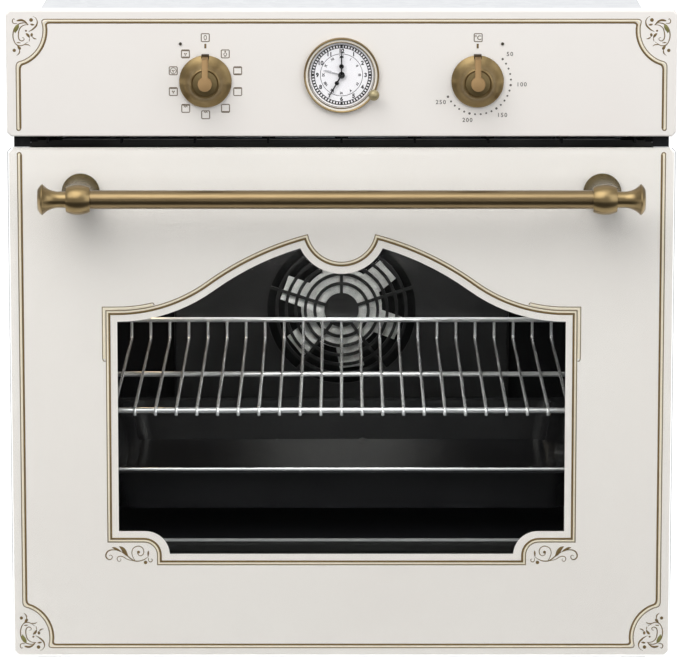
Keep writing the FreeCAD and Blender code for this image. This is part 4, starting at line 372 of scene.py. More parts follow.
def linked(name: str, work: bmesh.types.BMesh, finishes: list[Finish]) -> bpy.types.Object:
    """Make an object from geometry and link it to the scene.

    Args:
        name: Name of the object.
        work: Its geometry, freed here.
        finishes: Its finishes, in the order of the faces' material indices.

    Returns:
        The new object.
    """
    mesh = bpy.data.meshes.new(name)
    work.to_mesh(mesh)
    work.free()
    for finish in finishes:
        mesh.materials.append(finish.material())
    piece = bpy.data.objects.new(name, mesh)
    bpy.context.scene.collection.objects.link(piece)
    return piece


def finished(name: str, work: bmesh.types.BMesh, finishes: list[Finish], body: str,
             smooth: bool = True) -> bpy.types.Object:
    """Make a piece from finished geometry in the row frame.

    Args:
        name: Name of the piece.
        work: Its geometry, freed here.
        finishes: Its finishes, in the order of the faces' material indices.
        body: CAD body that it rides on.
        smooth: Whether rounds are shaded smooth.

    Returns:
        The new object.
    """
    settle(work)
    bmesh.ops.recalc_face_normals(work, faces=work.faces)
    piece = linked(name, work, finishes)
    if smooth:
        piece.data.shade_smooth()
        piece.data.set_sharp_from_angle(angle=SMOOTH)
    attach(piece, body)
    LOG.info("%s: %d faces on %s", name, len(piece.data.polygons), body)
    return piece


def spin_profile(work: bmesh.types.BMesh, profile: Sequence[Point], place: Matrix, steps: int = 72,
                 index: int = 0) -> None:
    """Turn an outline about its own Z and put it in place.

    Args:
        work: Geometry that the turned form is added to.
        profile: Radius and height of each outline point, in millimetres.
        place: Row-frame matrix of the turned form.
        steps: Number of facets round it.
        index: Material index of its faces.
    """
    part = bmesh.new()
    chain = [part.verts.new((radius * MM, 0.0, height * MM)) for radius, height in profile]
    edges = [part.edges.new(pair) for pair in zip(chain, chain[1:])]
    bmesh.ops.spin(part, geom=chain + edges, cent=(0, 0, 0), axis=(0, 0, 1), angle=math.tau, steps=steps,
                   use_merge=True)
    bmesh.ops.remove_doubles(part, verts=part.verts, dist=WELD)
    for face in part.faces:
        face.material_index = index
    bmesh.ops.recalc_face_normals(part, faces=part.faces)
    bmesh.ops.transform(part, matrix=place, verts=part.verts)
    add_to(work, part)


def add_to(work: bmesh.types.BMesh, part: bmesh.types.BMesh) -> None:
    """Add one geometry to another and free it.

    Args:
        work: Geometry that grows.
        part: Geometry that is taken over.
    """
    carrier = bpy.data.meshes.new("carrier")
    part.to_mesh(carrier)
    part.free()
    work.from_mesh(carrier)
    bpy.data.meshes.remove(carrier)


def slab(work: bmesh.types.BMesh, middle: Vector, size: Vector) -> None:
    """Add a block, with its middle and sizes in metres."""
    bmesh.ops.create_cube(work, size=1.0, matrix=Matrix.Translation(middle) @ Matrix.Diagonal((*size, 1.0)))


def facing_front(x: float, y: float, z: float) -> Matrix:
    """Matrix that turns a form's Z to the front, at a place in metres."""
    return Matrix.Translation((x, y, z)) @ Matrix.Rotation(math.pi / 2, 4, "X")


def facing_side(x: float, y: float, z: float, right: bool) -> Matrix:
    """Matrix that turns a form's Z to one side, at a place in metres."""
    return Matrix.Translation((x, y, z)) @ Matrix.Rotation(math.pi / 2 if right else -math.pi / 2, 4, "Y")


def arc(cx: float, cz: float, radius: float, start: float, end: float, steps: int = 12) -> list[Point]:
    """Points on an arc.

    Args:
        cx: Centre across, in millimetres.
        cz: Centre height, in millimetres.
        radius: Radius in millimetres.
        start: First angle in degrees, counter-clockwise from the right.
        end: Last angle in degrees.
        steps: Number of chords.

    Returns:
        The points from start to end.
    """
    turns = [math.radians(start + (end - start) * step / steps) for step in range(steps + 1)]
    return [(cx + radius * math.cos(turn), cz + radius * math.sin(turn)) for turn in turns]


def clockwise(cx: float, cz: float, radius: float, turn: float) -> Point:
    """Point on a circle, at an angle in degrees clockwise from its top."""
    return cx + radius * math.sin(math.radians(turn)), cz + radius * math.cos(math.radians(turn))


def soften(points: list[Point], cut: float, share_cut: float = 0.48, chords: int = 5) -> list[Point]:
    """Round the sharp bends of a line.

    Args:
        points: The line.
        cut: Length taken off each side of a sharp bend, in millimetres.
        share_cut: Most that is taken off, as a share of the side.
        chords: Number of chords in a bend.

    Returns:
        The line with its bends rounded.
    """
    out = [points[0]]
    for before, here, after in zip(points, points[1:], points[2:]):
        back, on = Vector(before) - Vector(here), Vector(after) - Vector(here)
        if back.angle(-on, 0.0) < SHARP_BEND:
            out.append(here)
            continue
        first = Vector(here) + back.normalized() * min(cut, back.length * share_cut)
        last = Vector(here) + on.normalized() * min(cut, on.length * share_cut)
        for step in range(chords + 1):
            share = step / chords
            spot = first.lerp(Vector(here), share).lerp(Vector(here).lerp(last, share), share)
            out.append((spot.x, spot.y))
    return out + [points[-1]]


def flowing(points: tuple[Point, ...], steps: int = 6) -> list[Point]:
    """Lead a smooth line through drawn points.

    Args:
        points: Points that the line passes.
        steps: Number of chords between two of them.

    Returns:
        The smooth line.
    """
    spots = [Vector(point) for point in points]
    spots = [spots[0] * 2 - spots[1]] + spots + [spots[-1] * 2 - spots[-2]]
    line = []
    for a, b, c, d in zip(spots, spots[1:], spots[2:], spots[3:]):
        for step in range(steps):
            t = step / steps
            spot = (b * 2 + (c - a) * t + (a * 2 - b * 5 + c * 4 - d) * t ** 2
                    + (b * 3 - a - c * 3 + d) * t ** 3) / 2
            line.append((spot.x, spot.y))
    return line + [tuple(points[-1])]


@dataclass
class Artwork:
    """Print on one front plane, raised by a hair and kept as one piece."""

    name: str
    plane: float
    finish: Finish
    body: str
    slot: str
    thick: float = 0.12
    centre: Point = (0.0, 0.0)
    mirror: bool = False
    capital: float = 0.69
    ribbon_flat: float = 0.44
    ribbon_round: float = 0.06
    strokes: list[tuple[list[Point], list[float], bool]] = field(default_factory=list)
    shapes: bmesh.types.BMesh = field(default_factory=bmesh.new)

    def stroke(self, points: list[Point], width: float, closed: bool = False, taper: float = 1.0,
               lean: float = 1.0) -> None:
        """Add a line of one width, or one that thins towards both ends.

        Args:
            points: The line, in millimetres across and up.
            width: Its width in millimetres.
            closed: Whether the last point joins the first.
            taper: Width at the ends as a share of the full width.
            lean: Above 1 the full width lies nearer the line's end.
        """
        last = max(len(points) - 1, 1)
        widths = []
        for step, here in enumerate(points):
            share = 1.0 if closed else taper + (1.0 - taper) * math.sin(math.pi * (step / last) ** lean)
            before = points[step - 1] if step or closed else here
            after = points[(step + 1) % len(points)] if step < last or closed else here
            turn_in = Vector((here[0] - before[0], here[1] - before[1]))
            turn_out = Vector((after[0] - here[0], after[1] - here[1]))
            bend = turn_in.angle(turn_out, 0.0) if turn_in.length and turn_out.length else 0.0
            widths.append(width * share / max(math.cos(bend / 2), 0.5))
        self.strokes.append((points, widths, closed))

    def ring(self, x: float, z: float, radius: float, width: float, steps: int) -> None:
        """Add a circle.

        Args:
            x: Middle across in millimetres.
            z: Middle up in millimetres.
            radius: Its radius in millimetres.
            width: Width of its line in millimetres.
            steps: Number of chords.
        """
        self.stroke(arc(x, z, radius, 0.0, 360.0, steps)[:-1], width, closed=True)

    def dot(self, x: float, z: float, radius: float, sides: int = 28) -> None:
        """Add a round spot.

        Args:
            x: Place across in millimetres.
            z: Place up in millimetres.
            radius: Its radius in millimetres.
            sides: Number of facets round it.
        """
        bmesh.ops.create_cone(self.shapes, cap_ends=True, segments=sides, radius1=radius, radius2=radius,
                              depth=self.thick, matrix=Matrix.Translation((x, z, self.thick / 2)))

    def bar(self, x: float, z: float, wide: float, high: float, turn: float = 0.0) -> None:
        """Add a filled bar.

        Args:
            x: Middle across in millimetres.
            z: Middle up in millimetres.
            wide: Size across in millimetres.
            high: Size up in millimetres.
            turn: Turn about its middle in degrees.
        """
        place = Matrix.Translation((x, z, self.thick / 2)) @ Matrix.Rotation(math.radians(turn), 4, "Z")
        shape = Matrix.Diagonal((wide, high, self.thick, 1.0))
        bmesh.ops.create_cube(self.shapes, size=1.0, matrix=place @ shape)

    def text(self, words: str, x: float, z: float, size: float, turn: float = 0.0, bold: float = 0.0,
             spacing: float = 1.0) -> None:
        """Add lettering.

        Args:
            words: What it says.
            x: Middle across in millimetres.
            z: Middle up in millimetres.
            size: Height of a capital in millimetres.
            turn: Turn about its middle in degrees.
            bold: Extra weight of the strokes in millimetres.
            spacing: Letter spacing, where 1 is the font's own.
        """
        letters = bpy.data.curves.new("letters", "FONT")
        letters.body = words
        letters.size = size / self.capital
        letters.align_x = "CENTER"
        letters.offset = bold
        letters.space_character = spacing
        letters.extrude = self.thick / 2
        letters.resolution_u = 3
        holder = bpy.data.objects.new("letters", letters)
        mesh = bpy.data.meshes.new_from_object(holder)
        place = Matrix.Translation((x, z, self.thick / 2)) @ Matrix.Rotation(math.radians(turn), 4, "Z")
        mesh.transform(place @ Matrix.Translation((0.0, -size / 2, 0.0)))
        self.shapes.from_mesh(mesh)
        bpy.data.meshes.remove(mesh)
        bpy.data.objects.remove(holder)
        bpy.data.curves.remove(letters)

    def _drawn(self) -> bpy.types.Mesh:
        """Sweep the lines as flat ribbons.

        Returns:
            One mesh with all of them.
        """
        path = bpy.data.curves.new("lines", "CURVE")
        path.dimensions = "3D"
        path.twist_mode = "Z_UP"
        path.extrude = self.ribbon_flat
        path.bevel_depth = self.ribbon_round
        path.bevel_resolution = 0
        path.use_fill_caps = True
        for points, widths, closed in self.strokes:
            line = path.splines.new("POLY")
            line.points.add(len(points) - 1)
            line.use_cyclic_u = closed
            for knot, (x, z), width in zip(line.points, points, widths):
                knot.co = (x, z, self.ribbon_round * width, 1.0)
                knot.radius = width
                knot.tilt = math.pi / 2
        holder = bpy.data.objects.new("lines", path)
        mesh = bpy.data.meshes.new_from_object(holder)
        bpy.data.objects.remove(holder)
        bpy.data.curves.remove(path)
        return mesh

    def build(self) -> bpy.types.Object:
        """Make the print as one piece on its plane.

        Returns:
            The printed piece.
        """
        if self.strokes:
            lines = self._drawn()
            self.shapes.from_mesh(lines)
            bpy.data.meshes.remove(lines)
        if self.mirror:
            whole = self.shapes.verts[:] + self.shapes.edges[:] + self.shapes.faces[:]
            twin = bmesh.ops.duplicate(self.shapes, geom=whole)["geom"]
            turned = [item for item in twin if isinstance(item, bmesh.types.BMVert)]
            bmesh.ops.scale(self.shapes, vec=(-1.0, 1.0, 1.0), verts=turned)
        across, up = self.centre
        place = Matrix(((MM, 0, 0, across * MM), (0, 0, -MM, self.plane), (0, MM, 0, up * MM), (0, 0, 0, 1)))
        bmesh.ops.transform(self.shapes, matrix=place, verts=self.shapes.verts)
        return finished(self.name, self.shapes, [self.finish], self.body, smooth=False)


@dataclass
class WindowShape:
    """Outline of the shaped window, and of the lines set round it."""

    half: float = 200.7
    bottom: float = 98.0
    notch_flat: float = 118.9
    notch_x: float = 178.2
    notch_z: float = 96.8
    notch_radius: float = 22.1
    corner: float = 310.6
    low_radius: float = 146.7
    low_turn: float = 36.0
    high_radius: float = 259.0
    high_x: float = -37.8
    high_z: float = 129.1
    scoop_z: float = 395.3
    scoop_radius: float = 40.8
    least_step: float = 0.01

    def apex(self, gap: float) -> Point:
        """Point where the high arc meets the scoop.

        Args:
            gap: Distance outside the window's edge in millimetres.

        Returns:
            The right-hand apex.
        """
        big, small = self.high_radius + gap, self.scoop_radius - gap
        across, up = -self.high_x, self.scoop_z - self.high_z
        reach = math.hypot(across, up)
        along = (big * big - small * small + reach * reach) / (2 * reach)
        off = math.sqrt(max(big * big - along * along, 0.0))
        base = Vector((self.high_x + across * along / reach, self.high_z + up * along / reach))
        return base.x + up * off / reach, base.y - across * off / reach

    def low_arc(self, gap: float, steps: int = 14) -> list[Point]:
        """Points of the low arc from the corner inwards, on the right.

        Args:
            gap: Distance outside the window's edge in millimetres.
            steps: Number of chords.

        Returns:
            The points in order.
        """
        centre = self.corner + self.low_radius
        line = arc(self.half, centre, self.low_radius - gap, 270.0, 270.0 - self.low_turn, steps)
        return [(self.half + gap, self.corner + gap)] + line

    def half_outline(self, gap: float) -> list[Point]:
        """Right half of the outline from the bottom middle to the scoop.

        Args:
            gap: Distance outside the window's edge in millimetres.

        Returns:
            The points in order.
        """
        inner = self.notch_radius - gap
        low = self.bottom - gap
        inside = self.notch_x - inner
        line = [(0.0, low), (inside, low), (inside, max(self.notch_z, low + self.least_step))]
        line += arc(self.notch_x, self.notch_z, inner, 180.0, 90.0, 10)[1:]
        line += [(self.half + gap, self.notch_flat - gap)]
        line += self.low_arc(gap)
        tip = self.apex(gap)
        first = math.degrees(math.atan2(line[-1][1] - self.high_z, line[-1][0] - self.high_x))
        last = math.degrees(math.atan2(tip[1] - self.high_z, tip[0] - self.high_x))
        line += arc(self.high_x, self.high_z, self.high_radius + gap, first, last, 24)[1:]
        begin = math.degrees(math.atan2(tip[1] - self.scoop_z, tip[0])) % 360.0
        line += arc(0.0, self.scoop_z, self.scoop_radius - gap, begin, 270.0, 16)[1:]
        return line

    def outline(self, gap: float) -> list[Point]:
        """Whole outline at a distance outside the window's edge."""
        right = self.half_outline(gap)
        return right + [(-x, z) for x, z in reversed(right[1:-1])]


@dataclass(frozen=True)
class FrameLine:
    """One of the lines that follow the front's edge and its hollow corners."""

    finish: Finish
    level: float
    side: float
    corner: float
    width: float


@dataclass
class FrontPrint:
    """Gold lines of the panel and the door."""

    window: WindowShape = field(default_factory=WindowShape)
    half: float = 297.0
    lines: tuple[FrameLine, ...] = (
        FrameLine(GOLD_DARK, 10.9, 12.1, 32.6, 1.75),
        FrameLine(GOLD_THIN, 8.0, 8.8, 29.5, 0.85),
        FrameLine(GOLD_PALE, 9.3, 10.3, 31.0, 1.7))
    line_bend: float = 4.2
    end_width: float = 1.1
    end_wall: float = 0.4
    corner_centre: Point = (3.5, 17.5)
    panel_bottom: float = 485.2
    panel_top: float = 590.5
    door_top: float = 461.5
    door_bottom: float = 3.0
    window_lines: tuple[tuple[Finish, float, float], ...] = (
        (GOLD_DARK, 7.0, 1.85), (GOLD_THIN, 10.0, 0.85), (GOLD_PALE, 8.7, 1.5))
    shoulder_lines: tuple[tuple[Finish, float, float], ...] = (
        (GOLD_THIN, 13.3, 0.75), (GOLD_PALE, 11.7, 2.2))
    shoulder_start: float = 168.0
    shoulder_foot: float = 276.8
    shoulder_tip: Point = (-1.6, 0.5)
    foot_hook: tuple[Point, ...] = ((-2.6, 274.6), (-0.9, 274.9))
    tip_hook: tuple[Point, ...] = ((-2.8, 0.2), (-3.6, -1.7))

    def frame_line(self, line: FrameLine, free_end: float, upward: bool, edge: float) -> list[Point]:
        """Lay a frame line from one free end to the other.

        Args:
            line: Its insets from the front's edges, its corner and its width.
            free_end: Height at which its uprights end.
            upward: Whether its level part is at the top.
            edge: Height of the front's edge on that side.

        Returns:
            The points from right to left.
        """
        sign = 1.0 if upward else -1.0
        cx, cz = self.half - self.corner_centre[0], edge - sign * self.corner_centre[1]
        level, upright = edge - sign * line.level, self.half - line.side
        rise = math.sqrt(max(line.corner ** 2 - (upright - cx) ** 2, 0.0))
        run = math.sqrt(max(line.corner ** 2 - (level - cz) ** 2, 0.0))
        start = math.degrees(math.atan2(-sign * rise, upright - cx))
        end = math.degrees(math.atan2(level - cz, -run))
        bend = arc(cx, cz, line.corner, start % 360.0, end % 360.0, 16)
        right = [(upright, free_end), bend[0], *bend[2:-2], bend[-1], (0.0, level)]
        return right + [(-x, z) for x, z in reversed(right[:-1])]

    def build(self, planes: dict[str, float]) -> None:
        """Print all lines.

        Args:
            planes: Y of each body's printed face, in metres.
        """
        arts = {(body, line.finish): Artwork(f"{name}_{line.finish.name}", planes[body], line.finish, body,
                                             "antique_bronze")
                for body, name in (("chassis", "panel"), ("door", "door")) for line in self.lines}
        dark, thin, _ = self.lines
        middle, radius = (dark.side + thin.side) / 2, (dark.side - thin.side) / 2
        for body, end, upward, edge in (("chassis", self.panel_bottom, True, self.panel_top),
                                        ("door", self.door_top, False, self.door_bottom)):
            for line in self.lines:
                points = self.frame_line(line, end, upward, edge)
                arts[body, line.finish].stroke(soften(points, self.line_bend), line.width)
            turn = 180.0 if upward else 0.0
            for x in (self.half - middle, middle - self.half):
                arts[body, GOLD_DARK].stroke(arc(x, end, radius, turn, turn + 180.0), self.end_width)
                arts[body, GOLD_PALE].dot(x, end, radius - self.end_wall)
        for finish, gap, width in self.window_lines:
            arts["door", finish].stroke(self.window.outline(gap), width, closed=True)
        for finish, gap, width in self.shoulder_lines:
            line = self._shoulder(gap, finish is GOLD_THIN)
            for sign in (1.0, -1.0):
                arts["door", finish].stroke([(sign * x, z) for x, z in line], width)
        for art in arts.values():
            art.build()

    def _shoulder(self, gap: float, hooked: bool) -> list[Point]:
        """Lay the short line outside the window's right shoulder.

        Args:
            gap: Its distance outside the window's edge in millimetres.
            hooked: Whether its ends turn in to the line beside it.

        Returns:
            The points from its foot to its tip.
        """
        side = self.window.half + gap
        keep = [point for point in self.window.low_arc(gap) if point[0] > self.shoulder_start]
        x, z = keep[-1]
        line = [(side, self.shoulder_foot), *keep, (x + self.shoulder_tip[0], z + self.shoulder_tip[1])]
        if hooked:
            line = [(side + across, up) for across, up in self.foot_hook] + line
            line += [(x + across, z + up) for across, up in self.tip_hook]
        return line


ScrollTable = tuple[tuple[float, float, float, tuple[Point, ...]], ...]
CORNER_SCROLL: ScrollTable = (
    (0.77, 0.35, 0.9, ((19.7, 12.8), (17.8, 11.5), (15.4, 11.2), (12.7, 11.8), (9.8, 13.5), (7.6, 16.5),
                       (6.5, 20.7), (6.6, 24.6), (7.6, 27.8), (9.1, 30.3), (11.1, 32.1), (12.4, 34.0))),
    (0.71, 0.4, 0.8, ((20.4, 13.0), (17.2, 13.0), (14.3, 14.3), (12.4, 16.5), (11.5, 19.7), (11.2, 23.4),
                      (12.0, 26.0), (13.8, 27.2), (15.6, 26.7), (16.3, 25.5), (15.6, 24.4), (14.3, 24.2))),
    (0.64, 0.5, 1.0, ((8.2, 8.2), (7.1, 7.6), (6.1, 9.1), (6.4, 11.0), (8.2, 11.8), (10.4, 11.5))),
    (1.41, 0.12, 0.7, ((9.8, 9.5), (11.5, 9.0), (13.9, 8.7), (16.5, 9.6), (18.4, 11.1), (20.1, 12.9))),
    (1.09, 0.2, 1.6, ((24.1, 5.3), (26.2, 6.5), (27.7, 8.5), (28.0, 11.1), (27.1, 13.7), (25.2, 15.8),
                      (23.1, 17.5), (20.2, 19.1))),
    (1.29, 0.1, 1.0, ((21.7, 12.4), (23.4, 12.7), (25.7, 13.0))),
    (1.67, 0.12, 0.8, ((17.8, 20.4), (19.3, 21.7), (20.4, 23.1), (21.2, 24.9))),
    (0.58, 0.3, 1.0, ((21.2, 24.7), (20.9, 26.2), (20.6, 27.8))),
    (1.74, 0.15, 1.0, ((23.3, 20.2), (23.0, 21.7), (22.6, 23.4))),
    (0.84, 0.2, 1.2, ((23.3, 22.6), (24.1, 24.2), (25.4, 25.1), (27.4, 25.5))),
    (1.29, 0.15, 1.0, ((17.0, 17.9), (18.0, 18.2), (19.0, 18.5))),
    (1.86, 0.12, 1.2, ((10.0, 31.0), (11.2, 32.5), (12.4, 34.1), (12.9, 34.9))),
    (0.84, 0.15, 1.0, ((11.9, 34.5), (12.1, 36.4), (11.5, 38.4), (9.3, 40.4))),
)
CORNER_PALE: ScrollTable = (
    (0.64, 0.3, 1.0, ((8.9, 29.5), (10.4, 30.9), (12.7, 31.5), (14.9, 31.1), (17.2, 29.8), (19.9, 27.8))),
    (0.71, 0.3, 1.0, ((15.3, 30.7), (17.8, 30.5), (19.9, 30.7), (21.7, 31.9))),
    (0.84, 0.2, 1.0, ((9.4, 28.8), (11.2, 28.7), (13.3, 29.0))),
)
CORNER_LEAF: ScrollTable = (
    (2.7, 0.12, 0.8, ((11.5, 12.8), (10.5, 14.1), (9.3, 16.4), (8.5, 18.4), (8.4, 20.3))),
)
WINDOW_SCROLL: ScrollTable = (
    (1.05, 0.35, 1.5, ((209.8, 96.0), (208.2, 96.9), (206.8, 95.2), (207.9, 93.2), (210.2, 92.8),
                       (212.2, 94.5), (212.7, 96.8), (211.4, 99.8), (208.7, 101.4), (205.2, 101.7),
                       (201.4, 101.2))),
    (1.85, 0.12, 1.0, ((207.2, 103.9), (204.8, 103.3), (201.6, 101.6), (198.4, 99.7))),
    (3.14, 0.1, 0.9, ((200.5, 104.9), (197.8, 103.0), (195.8, 100.2), (194.3, 97.6), (192.4, 95.4))),
    (1.37, 0.1, 1.0, ((174.3, 101.1), (174.4, 98.8), (174.7, 94.8))),
)
WINDOW_FINE: ScrollTable = (
    (0.96, 0.3, 1.0, ((201.4, 101.3), (198.6, 99.8), (195.4, 97.8), (192.4, 95.4), (189.6, 93.1),
                      (186.6, 91.5), (183.3, 91.3), (179.7, 92.1), (176.7, 93.6), (174.8, 95.2))),
    (0.68, 0.5, 1.2, ((199.6, 93.6), (199.1, 92.3), (200.7, 90.9), (202.4, 92.5), (202.1, 94.7),
                      (199.8, 95.8), (196.8, 95.1), (193.6, 93.1), (189.8, 91.9), (186.6, 91.5))),
    (0.72, 0.6, 0.8, ((186.4, 91.6), (188.2, 95.0), (189.2, 98.8), (188.2, 102.7), (185.4, 104.7),
                      (182.1, 105.0), (179.3, 103.1), (178.4, 100.0), (179.2, 97.4), (181.4, 96.2),
                      (183.4, 97.2), (184.1, 99.0), (183.0, 100.1))),
    (0.72, 0.5, 1.0, ((174.3, 94.4), (174.1, 91.9), (172.9, 90.5), (171.2, 91.1), (170.8, 92.7),
                      (172.0, 93.3))),
)


@dataclass
class Scrolls:
    """Scroll ornaments in the front's corners and under the window."""

    half: float = 297.0
    top: float = 590.5
    bottom: float = 3.0
    corner_dots: tuple[Triple, ...] = ((22.6, 8.6, 1.6), (7.4, 35.6, 1.45))
    window_dots: tuple[Triple, ...] = ((176.9, 90.1, 1.6), (183.2, 99.6, 1.3))
    corner_weight: float = 1.3
    window_weight: float = 1.15

    def build(self, planes: dict[str, float]) -> None:
        """Print the scrolls, each drawn once and mirrored.

        Args:
            planes: Y of each body's printed face, in metres.
        """
        for body, edge, sign in (("chassis", self.top, -1.0), ("door", self.bottom, 1.0)):
            for finish, lines, dots in ((GOLD_DARK, CORNER_SCROLL, self.corner_dots),
                                        (GOLD_THIN, CORNER_PALE, ()), (OLIVE, CORNER_LEAF, ())):
                art = Artwork(f"{body}_corner_{finish.name}", planes[body], finish, body, "antique_bronze",
                              mirror=True)
                self._ornament(art, lines, self.corner_weight, dots, (self.half, edge), (-1.0, sign))
        for finish, lines, dots in ((GOLD_DARK, WINDOW_SCROLL, self.window_dots),
                                    (GOLD_THIN, WINDOW_FINE, ())):
            art = Artwork(f"window_scroll_{finish.name}", planes["door"], finish, "door", "antique_bronze",
                          mirror=True)
            self._ornament(art, lines, self.window_weight, dots)

    def _ornament(self, art: Artwork, lines: ScrollTable, weight: float, dots: tuple[Triple, ...],
                  origin: Point = (0.0, 0.0), ways: Point = (1.0, 1.0)) -> None:
        """Draw one ornament and print it.

        Args:
            art: Print that it goes on.
            lines: Width, taper, lean and points of each line.
            weight: Factor on the widths.
            dots: Place across, place up and radius of each dot.
            origin: Place of the table's origin on the front.
            ways: Directions of the table's axes on the front.
        """
        def placed(x: float, z: float) -> Point:
            """A point of the table on the front."""
            return origin[0] + ways[0] * x, origin[1] + ways[1] * z

        for width, taper, lean, points in lines:
            art.stroke([placed(x, z) for x, z in flowing(points)], width * weight, taper=taper, lean=lean)
        for x, z, radius in dots:
            art.dot(*placed(x, z), radius)
        art.build()


class Sign(Enum):
    """What a pictogram can hold."""

    ZERO = "zero"
    LAMP = "lamp"
    TOP_HEAT = "top heat"
    BASE_HEAT = "base heat"
    HIGH_GRILL = "high grill"
    GRILL = "grill"
    FAN_RING = "fan ring"
    FAN = "fan"


@dataclass
class PanelLegend:
    """Pictograms, scale dots and figures round the two knobs."""

    knob_x: float = 120.5
    knob_z: float = 527.5
    pictograms: tuple[tuple[Sign, ...], ...] = (
        (Sign.ZERO,), (Sign.LAMP,), (Sign.TOP_HEAT, Sign.BASE_HEAT), (Sign.TOP_HEAT,), (Sign.BASE_HEAT,),
        (Sign.HIGH_GRILL,), (Sign.TOP_HEAT, Sign.GRILL), (Sign.TOP_HEAT, Sign.FAN),
        (Sign.FAN_RING, Sign.FAN), (Sign.TOP_HEAT, Sign.BASE_HEAT, Sign.FAN))
    ring: float = 30.0
    zero_ring: float = 38.7
    side: float = 7.9
    line: float = 0.85
    frame_corner: float = 0.9
    zero_half: Point = (1.1, 2.0)
    zero_line: float = 0.6
    bulb_drop: float = 0.4
    bulb_radius: float = 1.3
    bulb_line: float = 0.55
    spark_rise: float = 2.1
    spark: float = 0.75
    socket_drop: float = 2.2
    socket: Point = (1.6, 0.5)
    heat_rise: float = 2.85
    heat_bar: Point = (5.8, 0.9)
    high_grill_rise: float = 2.3
    grill_rise: float = 1.5
    grill_pitch: float = 0.8
    grill_wave: Point = (-0.5, 0.7)
    grill_line: float = 0.5
    fan_ring: float = 2.6
    blade_turns: Triple = (270.0, 30.0, 150.0)
    blade_reach: float = 0.85
    blade_drop: float = 0.2
    blade: float = 0.6
    degree_frame: float = 0.4
    degree_letter: float = 1.3
    degree_size: float = 3.8
    degree_bold: float = 0.12
    degree_spot: Point = (-1.8, 1.4)
    degree_radius: float = 0.7
    degree_line: float = 0.45
    mark_ring: float = 31.2
    mark: Point = (1.8, 4.0)
    dot_ring: float = 29.6
    dots: int = 21
    dots_per_figure: int = 5
    first_angle: float = 48.5
    last_angle: float = 242.0
    figure_dot: float = 1.05
    small_dot: float = 0.85
    figure_size: float = 3.6
    figure_bold: float = 0.05
    figure_spacing: float = 1.25
    figures: tuple[tuple[str, float, float], ...] = (
        ("50", 149.0, 551.7), ("100", 159.6, 524.7), ("150", 142.5, 497.4), ("200", 111.7, 492.9),
        ("250", 88.0, 508.9))

    def build(self, plane: float) -> None:
        """Print the legend on the panel.

        Args:
            plane: Y of the panel's front, in metres.
        """
        art = Artwork("panel_pictograms", plane, INK_BROWN, "chassis", "hand_black")
        for step, signs in enumerate(self.pictograms):
            ring = self.zero_ring if step == 0 else self.ring
            x, z = clockwise(-self.knob_x, self.knob_z, ring, 360.0 / len(self.pictograms) * step)
            self._frame(art, x, z)
            for sign in signs:
                self._sign(art, x, z, sign)
        top = self.knob_z + self.zero_ring
        self._frame(art, self.knob_x + self.degree_frame, top)
        art.text("C", self.knob_x + self.degree_letter, top, self.degree_size, bold=self.degree_bold)
        art.ring(self.knob_x + self.degree_spot[0], top + self.degree_spot[1], self.degree_radius,
                 self.degree_line, 12)
        art.build()
        marks = Artwork("panel_index_marks", plane, GOLD_DARK, "chassis", "antique_bronze")
        for x in (-self.knob_x, self.knob_x):
            marks.bar(x, self.knob_z + self.mark_ring, *self.mark)
        marks.build()
        self._scale(Artwork("panel_scale", plane, INK_GREY, "chassis", "hand_black"))

    def _scale(self, art: Artwork) -> None:
        """Print the temperature scale.

        Args:
            art: Print that it goes on.
        """
        span = self.last_angle - self.first_angle
        for step in range(self.dots):
            turn = self.first_angle + span * step / (self.dots - 1)
            x, z = clockwise(self.knob_x, self.knob_z, self.dot_ring, turn)
            art.dot(x, z, self.small_dot if step % self.dots_per_figure else self.figure_dot, 16)
        for words, x, z in self.figures:
            art.text(words, x, z, self.figure_size, bold=self.figure_bold, spacing=self.figure_spacing)
        art.build()

    def _frame(self, art: Artwork, x: float, z: float) -> None:
        """Draw one rounded square.

        Args:
            art: Print that it goes on.
            x: Its middle across.
            z: Its middle up.
        """
        soft = self.frame_corner
        inner = self.side / 2 - self.line / 2 - soft
        line: list[Point] = []
        for turn, across, up in ((0.0, 1, 1), (90.0, -1, 1), (180.0, -1, -1), (270.0, 1, -1)):
            line += arc(x + across * inner, z + up * inner, soft, turn, turn + 90.0, 4)
        art.stroke(line, self.line, closed=True)

    def _sign(self, art: Artwork, x: float, z: float, sign: Sign) -> None:
        """Draw one sign of a pictogram.

        Args:
            art: Print that it goes on.
            x: Middle of the pictogram across.
            z: Middle of the pictogram up.
            sign: What is drawn.
        """
        if sign is Sign.ZERO:
            wide, high = self.zero_half
            turns = [math.tau * step / 20 for step in range(20)]
            oval = [(x + wide * math.cos(turn), z + high * math.sin(turn)) for turn in turns]
            art.stroke(oval, self.zero_line, closed=True)
        elif sign is Sign.LAMP:
            art.ring(x, z - self.bulb_drop, self.bulb_radius, self.bulb_line, 16)
            art.dot(x, z + self.spark_rise, self.spark, 12)
            art.bar(x, z - self.socket_drop, *self.socket)
        elif sign in (Sign.TOP_HEAT, Sign.BASE_HEAT):
            rise = self.heat_rise if sign is Sign.TOP_HEAT else -self.heat_rise
            art.bar(x, z + rise, *self.heat_bar)
        elif sign in (Sign.HIGH_GRILL, Sign.GRILL):
            height = z + (self.high_grill_rise if sign is Sign.HIGH_GRILL else self.grill_rise)
            wave = [(x + (step - 2) * self.grill_pitch, height + self.grill_wave[step % 2])
                    for step in range(5)]
            art.stroke(wave, self.grill_line)
        elif sign is Sign.FAN_RING:
            art.ring(x, z, self.fan_ring, self.zero_line, 20)
        else:
            for spot in map(math.radians, self.blade_turns):
                art.dot(x + self.blade_reach * math.cos(spot),
                        z - self.blade_drop + self.blade_reach * math.sin(spot), self.blade, 10)


